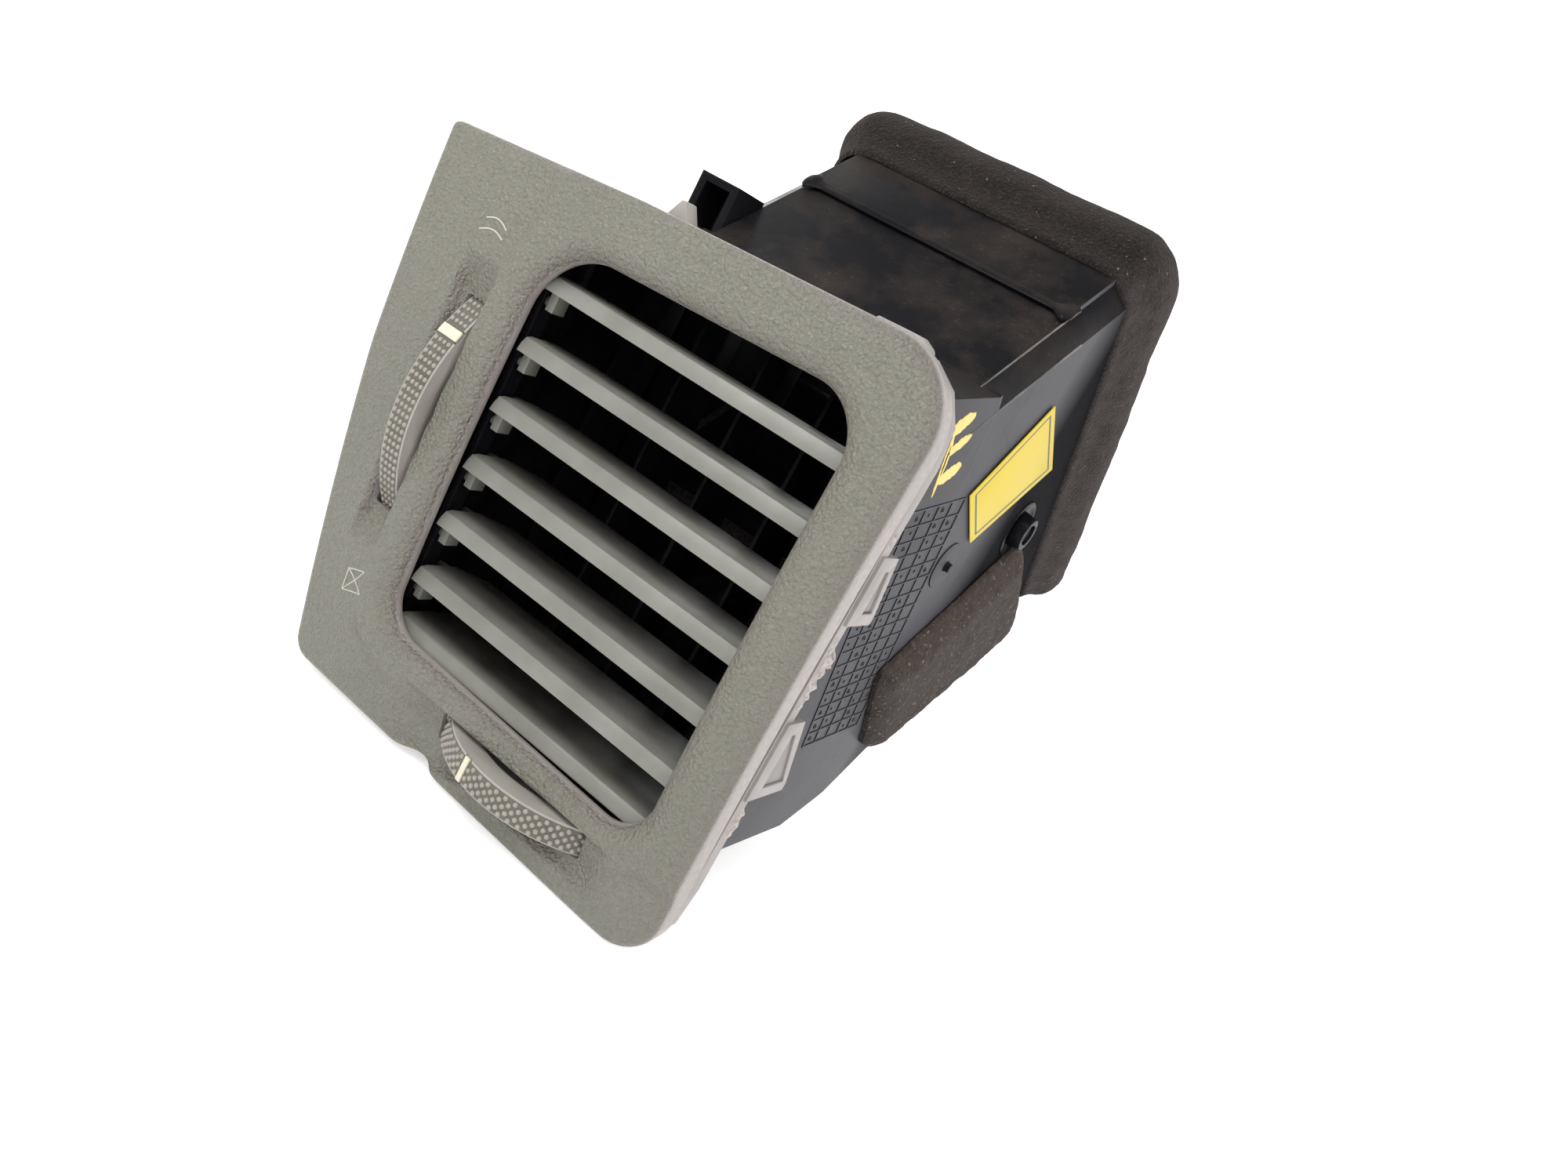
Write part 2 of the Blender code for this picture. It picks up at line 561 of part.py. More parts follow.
def make_damper_wheel(home):
    """Thumbwheel sector that shows at the left of the face, with a gear segment at its back."""
    mat = material("wheel_grey", GRAIN_GREY, 0.5)
    # at rest a tooth stands on the line of centres, between two teeth of the damper's segment
    pitch = 360.0 / WHEEL_TEETH
    gear_mid = LINE_ANGLE - 3.5 * pitch
    teeth = gear_segment(WHEEL_TEETH, gear_mid, 12)
    inner = D_WHEEL_R - RIM_DEPTH
    web = teeth + arc_points(26.0, 70.0, 82.0, 3) + arc_points(inner + 0.6, 84.0, 224.0, 36) \
        + arc_points(26.0, 228.0, 300.0, 12)
    steps = [("+", prism_mesh(shifted(arc_points(D_WHEEL_R, 84.0, 224.0, 56)
                                      + arc_points(inner, 224.0, 84.0, 36), D_WHEEL), *D_WHEEL_X, "X")),
             ("+", rod_mesh((-46.6, *D_WHEEL), (-40.4, *D_WHEEL), 5.0, 24)),
             ("-", rod_mesh((-50, *D_WHEEL), (-36, *D_WHEEL), BORE_R, 20))]
    mark = math.radians(DAMPER_MARK)
    centre = Vector((0, D_WHEEL[0] + D_WHEEL_R * math.cos(mark),
                     D_WHEEL[1] + D_WHEEL_R * math.sin(mark)))
    low, high = (D_WHEEL_X[0] - 1, -0.9, -1.4), (D_WHEEL_X[1] + 1, 1.0, 1.4)
    steps.append(("-", tilted_box(centre, low, high, mark, "X")))
    obj = combine("damper_thumbwheel", prism_mesh(shifted(web, D_WHEEL), *GEAR_X, "X"), steps, home, mat)
    set_origin(obj, (0, *D_WHEEL))
    low, high = (D_WHEEL_X[0] + 0.1, -0.6, -1.05), (D_WHEEL_X[1] - 0.1, -0.02, 1.05)
    index = add_object("damper_index_mark", tilted_box(centre, low, high, mark, "X"), home,
                       material("mark_white", (0.8, 0.78, 0.7), 0.5))
    set_origin(index, (0, *D_WHEEL))


def tilted_box(centre, low, high, angle, axis):
    """A box whose second (X wheel) or first (Z wheel) side points along a radius."""
    mesh = box_mesh(low, high)
    mesh.transform(Matrix.Translation(centre * MM) @ Matrix.Rotation(angle, 4, axis))
    return mesh


def make_direction_wheel(home):
    """Thumbwheel sector below the opening, with a crank to its rear."""
    mat = material("wheel_grey", GRAIN_GREY, 0.5)
    x, y = V_WHEEL
    inner = V_WHEEL_R - RIM_DEPTH
    rim = arc_points(V_WHEEL_R, 196.0, 344.0, 48) + arc_points(inner, 344.0, 196.0, 32)
    rim = shifted(rim, V_WHEEL)
    web_z = (V_WHEEL_Z[0] + 0.2, V_WHEEL_Z[0] + 2.0)
    web = arc_points(inner + 0.5, 196.0, 344.0, 32) + arc_points(HUB_R - 0.5, 20.0, 160.0, 5)
    web = shifted(web, V_WHEEL)
    steps = [("+", prism_mesh(web, *web_z, "Z")),
             ("+", rod_mesh((x, y, V_WHEEL_Z[0]), (x, y, V_WHEEL_Z[1] + 0.8), HUB_R, 20)),
             ("+", box_mesh((x - 2.4, y, web_z[0]), (x + 2.4, y + CRANK + 2.4, web_z[1]))),
             ("+", rod_mesh((x, y + CRANK, web_z[0] + 0.5), (x, y + CRANK, BAR_Z[1] + 0.1), 1.3, 16)),
             ("-", rod_mesh((x, y, -60), (x, y, -40), BORE_R, 20))]
    mark = math.radians(DIRECTION_MARK)
    centre = Vector((x + V_WHEEL_R * math.cos(mark), y + V_WHEEL_R * math.sin(mark), 0))
    low, high = (-0.9, -1.0, V_WHEEL_Z[0] - 1), (1.0, 1.0, V_WHEEL_Z[1] + 1)
    steps.append(("-", tilted_box(centre, low, high, mark, "Z")))
    obj = combine("direction_thumbwheel", prism_mesh(rim, *V_WHEEL_Z, "Z"), steps, home, mat)
    set_origin(obj, (x, y, 0))
    low, high = (-0.6, -0.65, V_WHEEL_Z[0] + 0.1), (-0.02, 0.65, V_WHEEL_Z[1] - 0.1)
    index = add_object("direction_index_mark", tilted_box(centre, low, high, mark, "Z"), home,
                       material("mark_white", (0.8, 0.78, 0.7), 0.5))
    set_origin(index, (x, y, 0))


def make_axles(home):
    """Headed pins that hold the two thumbwheels on the housing."""
    mat = material("axle_steel", (0.55, 0.55, 0.56), 0.3, 1.0)
    combine("damper_wheel_axle", rod_mesh((BOX_X[0] - GAP, *D_WHEEL), (-48.4, *D_WHEEL), AXLE_R),
            [("+", rod_mesh((-47.2, *D_WHEEL), (-48.8, *D_WHEEL), 3.4))], home, mat)
    x, y = V_WHEEL
    combine("direction_wheel_axle", rod_mesh((x, y, FLOOR_Z - GAP), (x, y, -52.6), AXLE_R),
            [("+", rod_mesh((x, y, -51.3), (x, y, -52.8), 3.4))], home, mat)


# ======== damper =========================================================================
def make_damper(home):
    black = material("damper_black", BLACK, 0.5)
    foam = material("seal_foam", FOAM, 0.95)
    y, z = DAMPER
    x0, x1 = DUCT_X[0] + WALL + 0.5, DUCT_X[1] - WALL - 0.5
    tilt = Matrix.Translation(Vector((0, y, z)) * MM) @ Matrix.Rotation(RISE, 4, "X")

    def slab(low, high):
        mesh = box_mesh(low, high)
        mesh.transform(tilt)
        return mesh

    plate = slab((x0 + SEAL_W + GAP, -DOOR_FRONT, -DOOR_T / 2),
                 (x1 - SEAL_W - GAP, DOOR_REAR, DOOR_T / 2))
    door = combine("damper_door", plate,
                   [("+", rod_mesh((x0, y, z), (x1, y, z), 3.8, 24)),
                    ("-", rod_mesh((x0 - 5, y, z), (x1 + 5, y, z), SHAFT_R + GAP + 0.05, 24))], home, black)
    set_origin(door, (0, *DAMPER))
    ring = slab((x0, -DOOR_FRONT - SEAL_W - GAP, -1.3), (x1, DOOR_REAR + SEAL_W + GAP, 1.3))
    hole = slab((x0 + SEAL_W, -DOOR_FRONT - GAP, -3), (x1 - SEAL_W, DOOR_REAR + GAP, 3))
    for side, low_y, high_y in (("front", -90.0, -4.2), ("rear", 4.2, 90.0)):
        keep = slab((x0 - 20, high_y if side == "front" else low_y - 90.0, -9),
                    (x1 + 20, high_y + 90.0 if side == "front" else low_y, 9))
        seal = combine("damper_seal_" + side, ring.copy(), [("-", hole.copy()), ("-", keep)], home, foam)
        set_origin(seal, (0, *DAMPER))
    shaft = combine("damper_shaft", rod_mesh((-45.6, y, z), (42.4, y, z), SHAFT_R, 24), [], home, black)
    set_origin(shaft, (0, *DAMPER))
    pitch = 360.0 / DAMPER_TEETH
    teeth = gear_segment(DAMPER_TEETH, LINE_ANGLE + 180.0 + 4.5 * pitch, 11)
    blank = teeth + arc_points(8.0, 330.0, 530.0, 16)
    gear = combine("damper_gear", prism_mesh(shifted(blank, DAMPER), *GEAR_X, "X"),
                   [("+", rod_mesh((-45.4, y, z), (-41.4, y, z), 5.0, 24)),
                    ("-", rod_mesh((-50, y, z), (-36, y, z), SHAFT_R + GAP + 0.05, 24))], home, black)
    set_origin(gear, (0, *DAMPER))
    for side, wall, out in (("left", DUCT_X[0], -1), ("right", DUCT_X[1], 1)):
        body = rod_mesh((wall - out * (WALL - 0.1), y, z), (wall + out * 2.0, y, z), 3.1, 24)
        flange = rod_mesh((wall + out * GAP, y, z), (wall + out * 2.9, y, z), 4.2, 24, 3.7)
        bore = rod_mesh((wall - out * 6, y, z), (wall + out * 6, y, z), SHAFT_R + GAP, 24)
        combine("damper_bush_" + side, body, [("+", flange), ("-", bore)], home, black)


# ======== foam and label =================================================================
def make_gasket(home):
    """Soft foam ring round the rear mouth."""
    front, rear, thick = 17.5, 34.5, 5.0
    def rect(low_x, high_x, low_u, high_u, along, radius):
        loop = fillet_loop([((low_x, high_u), radius), ((low_x, low_u), radius),
                            ((high_x, low_u), radius), ((high_x, high_u), radius)], 4)
        return [Vector((x, *duct_point(along, u))) * MM for x, u in loop]
    inner_box = (DUCT_X[0] - 0.4, DUCT_X[1] + 0.4, DUCT_LOW - 0.4, 1.7)
    outer_box = (DUCT_X[0] - thick, DUCT_X[1] + thick, DUCT_LOW - thick - 0.6, 1.4 + thick)
    def grown(by):
        return (outer_box[0] - by, outer_box[1] + by, outer_box[2] - by, outer_box[3] + by)
    loops = [rect(*inner_box, front, 0.8), rect(*grown(-2.0), front, 6.0),
             rect(*grown(0.0), front + 2.2, 8.0), rect(*grown(0.0), rear - 2.2, 8.0),
             rect(*grown(-2.0), rear, 6.0), rect(*inner_box, rear, 0.8)]
    bm = bmesh.new()
    rows = [[bm.verts.new(p) for p in loop] for loop in loops]
    for j in range(len(rows)):
        one, two = rows[j], rows[(j + 1) % len(rows)]
        for i in range(len(one)):
            k = (i + 1) % len(one)
            bm.faces.new((one[i], one[k], two[k], two[i]))
    add_object("rear_foam_gasket", mesh_from(bm, "rear_foam_gasket"), home,
               material("gasket_foam", FOAM, 0.95))


def make_side_pad(home):
    """Foam pad glued to the right wall, low down, in front of the gasket."""
    edge = [(-51.0, -57.4), (-51.0, -80.0), (-48.0, -84.5), (-20.0, -90.0), (6.0, -94.0),
            (11.5, -92.0), (10.0, -80.0), (3.0, -59.0), (0.0, -57.4)]
    outline = [duct_point(a, u) for a, u in edge]
    mesh = prism_mesh(outline, DUCT_X[1] + GAP, DUCT_X[1] + 4.8, "X")
    bm = bmesh.new()
    bm.from_mesh(mesh)
    top = [e for e in bm.edges if all(v.co.x > (DUCT_X[1] + 4.0) * MM for v in e.verts)]
    bmesh.ops.bevel(bm, geom=top, offset=2.2 * MM, segments=2, affect="EDGES")
    add_object("side_foam_pad", mesh_from(bm, "side_foam_pad"), home,
               material("pad_foam", FOAM, 0.95))


def make_label(home):
    """Plain sticker on the right wall, laid along the duct."""
    corners = [(35.3, 32.9), (50.9, 23.3), (76.1, 42.5), (53.6, 54.4)]
    mesh = prism_mesh(corners, DUCT_X[1] + GAP, DUCT_X[1] + 0.6, "X")
    add_object("blank_label", mesh, home, material("label_yellow", (0.75, 0.62, 0.03), 0.4))


def shade(home):
    for obj in home.objects:
        obj.data.shade_smooth()
        obj.data.set_sharp_from_angle(angle=math.radians(32))


def main():
    clear_scene()
    home = collection("dashboard_air_vent")
    collection("cutters")
    make_bezel(home)
    make_mounting_frame(home)
    make_housing(home)
    make_pivot_strips(home)
    make_louvres(home)
    make_sill_blade(home)
    make_louvre_link(home)
    make_vanes(home)
    make_vane_rail(home)
    make_direction_bar(home)
    make_damper_wheel(home)
    make_direction_wheel(home)
    make_axles(home)
    make_damper(home)
    make_gasket(home)
    make_side_pad(home)
    make_label(home)
    shade(home)


main()
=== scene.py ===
"""Looks of the dashboard air vent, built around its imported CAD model.

Lengths are in millimetres in the part's own frame (X right, Y into the dashboard, Z up) and are
turned into metres where a mesh is made.
"""

import json
import math
import random

import bmesh
import bpy
import numpy as np
from mathutils import Matrix, Vector, noise


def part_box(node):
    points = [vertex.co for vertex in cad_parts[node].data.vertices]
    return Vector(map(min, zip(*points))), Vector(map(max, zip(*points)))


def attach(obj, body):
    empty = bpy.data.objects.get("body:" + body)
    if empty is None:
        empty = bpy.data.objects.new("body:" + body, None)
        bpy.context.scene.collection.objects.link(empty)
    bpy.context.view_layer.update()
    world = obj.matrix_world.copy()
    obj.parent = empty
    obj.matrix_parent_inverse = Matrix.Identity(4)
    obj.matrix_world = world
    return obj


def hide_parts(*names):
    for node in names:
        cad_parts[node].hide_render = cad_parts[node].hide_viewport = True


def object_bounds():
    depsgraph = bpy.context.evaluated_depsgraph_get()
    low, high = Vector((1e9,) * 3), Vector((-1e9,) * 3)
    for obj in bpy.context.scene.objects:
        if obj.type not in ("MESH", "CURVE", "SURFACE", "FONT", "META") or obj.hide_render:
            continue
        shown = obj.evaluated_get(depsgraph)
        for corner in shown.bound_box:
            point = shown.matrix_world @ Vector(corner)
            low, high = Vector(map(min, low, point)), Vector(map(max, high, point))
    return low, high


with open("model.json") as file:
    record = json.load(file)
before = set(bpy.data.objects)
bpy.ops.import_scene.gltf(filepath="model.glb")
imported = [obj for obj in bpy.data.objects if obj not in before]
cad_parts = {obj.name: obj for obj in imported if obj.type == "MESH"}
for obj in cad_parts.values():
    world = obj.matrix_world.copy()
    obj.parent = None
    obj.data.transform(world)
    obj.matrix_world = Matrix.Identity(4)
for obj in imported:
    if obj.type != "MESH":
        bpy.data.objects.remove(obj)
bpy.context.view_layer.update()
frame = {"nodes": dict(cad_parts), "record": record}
BODY_OF = {node: body for body, nodes in frame["record"]["behaviour"]["bodies"].items() for node in nodes}

MM = 0.001
SEED = 7

# ---- bezel: corners (X, Z) of its opening and outline, each with its radius ---------------------
OPENING = [((-33.4, 38.6), 13.0), ((-32.4, -39.6), 8.0), ((34.8, -41.0), 8.0), ((33.8, 41.3), 10.0)]
OUTLINE = [((-66.5, 47.9), 1.4), ((-62.0, 5.0), 90.0), ((-50.8, -57.6), 4.5),
           ((45.7, -59.4), 9.0), ((45.7, 54.0), 13.5), ((-20.0, 51.4), 150.0)]
FACE_Y, FACE_BOW, FACE_MID_Z = -10.2, 0.0008, -6.0   # Y of the middle, curvature, Z of the middle
CROWN = 2.5                       # face in front of its rim
LIP_ROUND = (4.6, 2.7)            # width and depth of the rounding into the opening
EDGE_ROUND = (3.4, 2.7)           # the same at the outer edge on the right
EDGE_TIGHT = (1.5, 1.3)           # and on the left and below, where the edge is crisp
PANEL_DROP = 0.8                  # how far the wide left and lower margins lie behind the lip
SKIRT_Y = -4.0                    # rear edge of the bezel's side wall
WALL = 1.8
SLOT_CUT_Y = (-40.0, 10.0)        # a wheel window is cut through the face between these

# ---- thumbwheels --------------------------------------------------------------------------------
# span: knurled arc in degrees; mark: where the index mark interrupts it; depth: faces of the rim
LEFT_WHEEL = {"node": "damper_thumbwheel", "axis": "X", "centre": (20.0, 0.4), "radius": 36.0,
              "span": (86.5, 221.5), "mark": 156.0, "depth": (-46.3, -41.2)}
LOW_WHEEL = {"node": "direction_thumbwheel", "axis": "Z", "centre": (7.5, 8.5), "radius": 25.0,
             "span": (199.0, 341.0), "mark": 256.0, "depth": (-50.8, -45.7)}
BUMP = 0.4                        # height of the knurling
LEFT_PITCH, LOW_PITCH = 2.43, math.degrees(1.05 / LOW_WHEEL["radius"])     # degrees between rows
LEFT_SLOT = ((-46.9, -40.4), (-21.4, 22.2))      # X range, Z range
LOW_SLOT = ((-11.2, 26.2), (-51.3, -45.4))
LEFT_POCKET = 2.2                 # depth of the finger recess at the left wheel
LOW_POCKET = 1.7                  # and at the lower wheel

# ---- duct ---------------------------------------------------------------------------------------
RISE = math.radians(37.0)
RIDGE = (47.5, 69.3)              # Y, Z of the step across the roof; origin of the duct's own axes
DUCT_X = (-34.0, 40.0)
DUCT_LOW = -88.0
SIDE_WALL = 40.0                  # X of the right wall's outside
GASKET_SPAN = (17.5, 34.5)        # foam collar, along the duct
# strip of foam on the right wall: (along, up) corners with their radii
PAD_OUTLINE = [((-51.0, -57.4), 2.5), ((-51.0, -80.0), 3.0), ((-48.0, -84.5), 3.0), ((-20.0, -90.0), 4.0),
               ((6.0, -94.0), 3.0), ((11.5, -92.0), 2.0), ((10.0, -80.0), 3.0), ((3.0, -59.0), 3.0),
               ((0.0, -57.4), 1.5)]
# moulded grid on the right wall: its corners (Y, Z) and its numbers of cells
GRID = {"top": ((7.9, 26.5), (35.0, 32.2)), "low": ((25.1, -22.5), (48.1, -20.4))}
GRID_COLUMNS, GRID_LINES = 5, 16
ROOF_RIB = (-28.5, 36.8)          # rib across the roof, X from and to
RIB_KNOBS = ((-27.2, 1.3), (35.2, 1.5))          # X and length of the knobs at its ends
SHOULDER_LENGTH = 38.0            # rubbed, dusty lines on the roof's shoulder, pale enough to stand as painted highlights on its edges
LABEL_CORNERS = ((35.3, 32.9), (50.9, 23.3), (76.1, 42.5), (53.6, 54.4))      # Y, Z
FLANGE_X = 44.3                   # right side of the mounting frame
RESIDUE_MAX_X = 45.65             # glue on it stays inside the vent's box

rng = random.Random(SEED)


# ================ helpers ========================================================================
def smooth(t):
    t = np.clip(t, 0.0, 1.0)
    return t * t * (3 - 2 * t)


def duct_point(along, up):
    """Y, Z of a point given along the rising duct and up from its roof."""
    c, s = math.cos(RISE), math.sin(RISE)
    return RIDGE[0] + along * c - up * s, RIDGE[1] + along * s + up * c


def fillet_loop(corners, steps=20):
    """Round each corner of a closed outline with its own radius."""
    points, count = [], len(corners)
    for i, (corner, radius) in enumerate(corners):
        here = np.array(corner)
        before, after = np.array(corners[i - 1][0]) - here, np.array(corners[(i + 1) % count][0]) - here
        long_a, long_b = np.linalg.norm(before), np.linalg.norm(after)
        u, v = before / long_a, after / long_b
        half = math.acos(np.clip(u @ v, -1, 1)) / 2
        reach = min(radius / math.tan(half), 0.45 * long_a, 0.45 * long_b)
        centre = here + (u + v) / np.linalg.norm(u + v) * reach / math.cos(half)
        start, stop = here + u * reach - centre, here + v * reach - centre
        turn = 1 if start[0] * stop[1] - start[1] * stop[0] > 0 else -1
        for a in turn * (math.pi - 2 * half) * np.arange(steps + 1) / steps:
            points.append(centre + np.array([start[0] * math.cos(a) - start[1] * math.sin(a),
                                             start[0] * math.sin(a) + start[1] * math.cos(a)]))
    return np.array(points)


def loop_reach(loop, angles):
    """Distance from the origin to a closed outline in each direction."""
    a, b = loop, np.roll(loop, -1, axis=0)
    edge = b - a
    found = []
    for angle in angles:
        ray = np.array([math.cos(angle), math.sin(angle)])
        det = edge[:, 0] * ray[1] - edge[:, 1] * ray[0]
        det[abs(det) < 1e-12] = 1e-12
        part = (a[:, 1] * ray[0] - a[:, 0] * ray[1]) / det
        hits = (a + part[:, None] * edge) @ ray
        found.append(hits[(part >= -1e-9) & (part <= 1 + 1e-9)].max())
    return np.array(found)


def loop_distance(loop, x, z):
    """Distance from each point to a closed outline."""
    points = np.stack([x.ravel(), z.ravel()], 1)
    best = np.full(len(points), 1e9)
    for a, b in zip(loop, np.roll(loop, -1, axis=0)):
        edge = b - a
        part = np.clip((points - a) @ edge / max(edge @ edge, 1e-12), 0, 1)
        best = np.minimum(best, np.linalg.norm(points - a - part[:, None] * edge, axis=1))
    return best.reshape(x.shape)


def new_object(name, bm, mat, body="root", sharp=40.0):
    """Finish a bmesh given in millimetres as a shaded piece that rides on a body."""
    bmesh.ops.recalc_face_normals(bm, faces=bm.faces[:])
    mesh = bpy.data.meshes.new(name)
    bm.to_mesh(mesh)
    bm.free()
    mesh.transform(Matrix.Scale(MM, 4))
    return place(name, mesh, mat, body, sharp)


def place(name, mesh, mat, body, sharp=40.0):
    """Put a mesh given in metres into the scene as a shaded piece that rides on a body."""
    mesh.materials.clear()
    mesh.materials.append(mat)
    mesh.shade_smooth()
    mesh.set_sharp_from_angle(angle=math.radians(sharp))
    obj = bpy.data.objects.new(name, mesh)
    bpy.context.scene.collection.objects.link(obj)
    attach(obj, body)
    return obj


def loft(rows, closed_rows=True, closed_columns=True, bm=None):
    """Quads between rows of points, each row with the same number of points."""
    bm = bm or bmesh.new()
    verts = [[bm.verts.new(Vector(p)) for p in row] for row in rows]
    for i in range(len(rows) - (0 if closed_rows else 1)):
        one, two = verts[i], verts[(i + 1) % len(rows)]
        for j in range(len(one) - (0 if closed_columns else 1)):
            k = (j + 1) % len(one)
            bm.faces.new((one[j], one[k], two[k], two[j]))
    return bm


def cap(bm, count, last=True):
    """Close the last (or first) row of a loft, count points long, with one face."""
    bm.verts.ensure_lookup_table()
    start = len(bm.verts) - count if last else 0
    bm.faces.new([bm.verts[start + k] for k in range(count)])


def round_rows(y, z, levels, steps):
    """Circles round a point of the right wall, one for each (radius, height over the wall)."""
    return [[(SIDE_WALL + lift, y + r * math.cos(a), z + r * math.sin(a))
             for a in np.linspace(0, 2 * math.pi, steps, endpoint=False)] for r, lift in levels]


def apply_modifiers(obj):
    graph = bpy.context.evaluated_depsgraph_get()
    mesh = bpy.data.meshes.new_from_object(obj.evaluated_get(graph))
    obj.modifiers.clear()
    old = obj.data
    obj.data = mesh
    bpy.data.meshes.remove(old)
    return obj


def box_bm(low, high):
    bm = bmesh.new()
    bmesh.ops.create_cube(bm, size=1.0)
    low, high = Vector(low), Vector(high)
    for vert in bm.verts:
        share = vert.co + Vector((0.5, 0.5, 0.5))
        vert.co = Vector([low[i] + share[i] * (high[i] - low[i]) for i in range(3)])
    return bm


def prism(outline, low, high, bevel):
    """A Y, Z outline extruded along X, with the rim of its far face bevelled."""
    bm = bmesh.new()
    verts = [bm.verts.new(Vector((low, y, z))) for y, z in outline]
    face = bm.faces.new(verts)
    new = bmesh.ops.extrude_face_region(bm, geom=[face])["geom"]
    top = [g for g in new if isinstance(g, bmesh.types.BMVert)]
    bmesh.ops.translate(bm, vec=Vector((high - low, 0, 0)), verts=top)
    rim = [e for e in bm.edges if e.verts[0] in top and e.verts[1] in top]
    bmesh.ops.bevel(bm, geom=rim, offset=bevel, segments=2, affect="EDGES", profile=0.5)
    return bm


def skin(node, mat, bevel, angle=30.0, shrink=None):
    """A CAD node's shape with rounded edges, as the piece that stands for it."""
    mesh = frame["nodes"][node].data.copy()
    bm = bmesh.new()
    bm.from_mesh(mesh)
    bmesh.ops.remove_doubles(bm, verts=bm.verts, dist=0.008 * MM)
    if shrink:
        shrink(bm)
    bmesh.ops.dissolve_limit(bm, angle_limit=math.radians(0.8), verts=bm.verts, edges=bm.edges)
    bm.to_mesh(mesh)
    bm.free()
    obj = place(node + "_skin", mesh, mat, BODY_OF[node], 35.0)
    mod = obj.modifiers.new("edges", "BEVEL")
    mod.width = bevel * MM
    mod.segments = 2
    mod.limit_method = "ANGLE"
    mod.angle_limit = math.radians(angle)
    mod.use_clamp_overlap = True
    mod.miter_outer = "MITER_ARC"
    apply_modifiers(obj)
    obj.data.shade_smooth()
    obj.data.set_sharp_from_angle(angle=math.radians(42.0))
    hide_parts(node)
    return obj


def wobble(point, scale, seed=0.0):
    """Smooth noise from -1 to 1 at a point; scale is the feature size in millimetres."""
    return noise.noise(Vector(point) / scale + Vector((seed, seed * 0.37, -seed)))


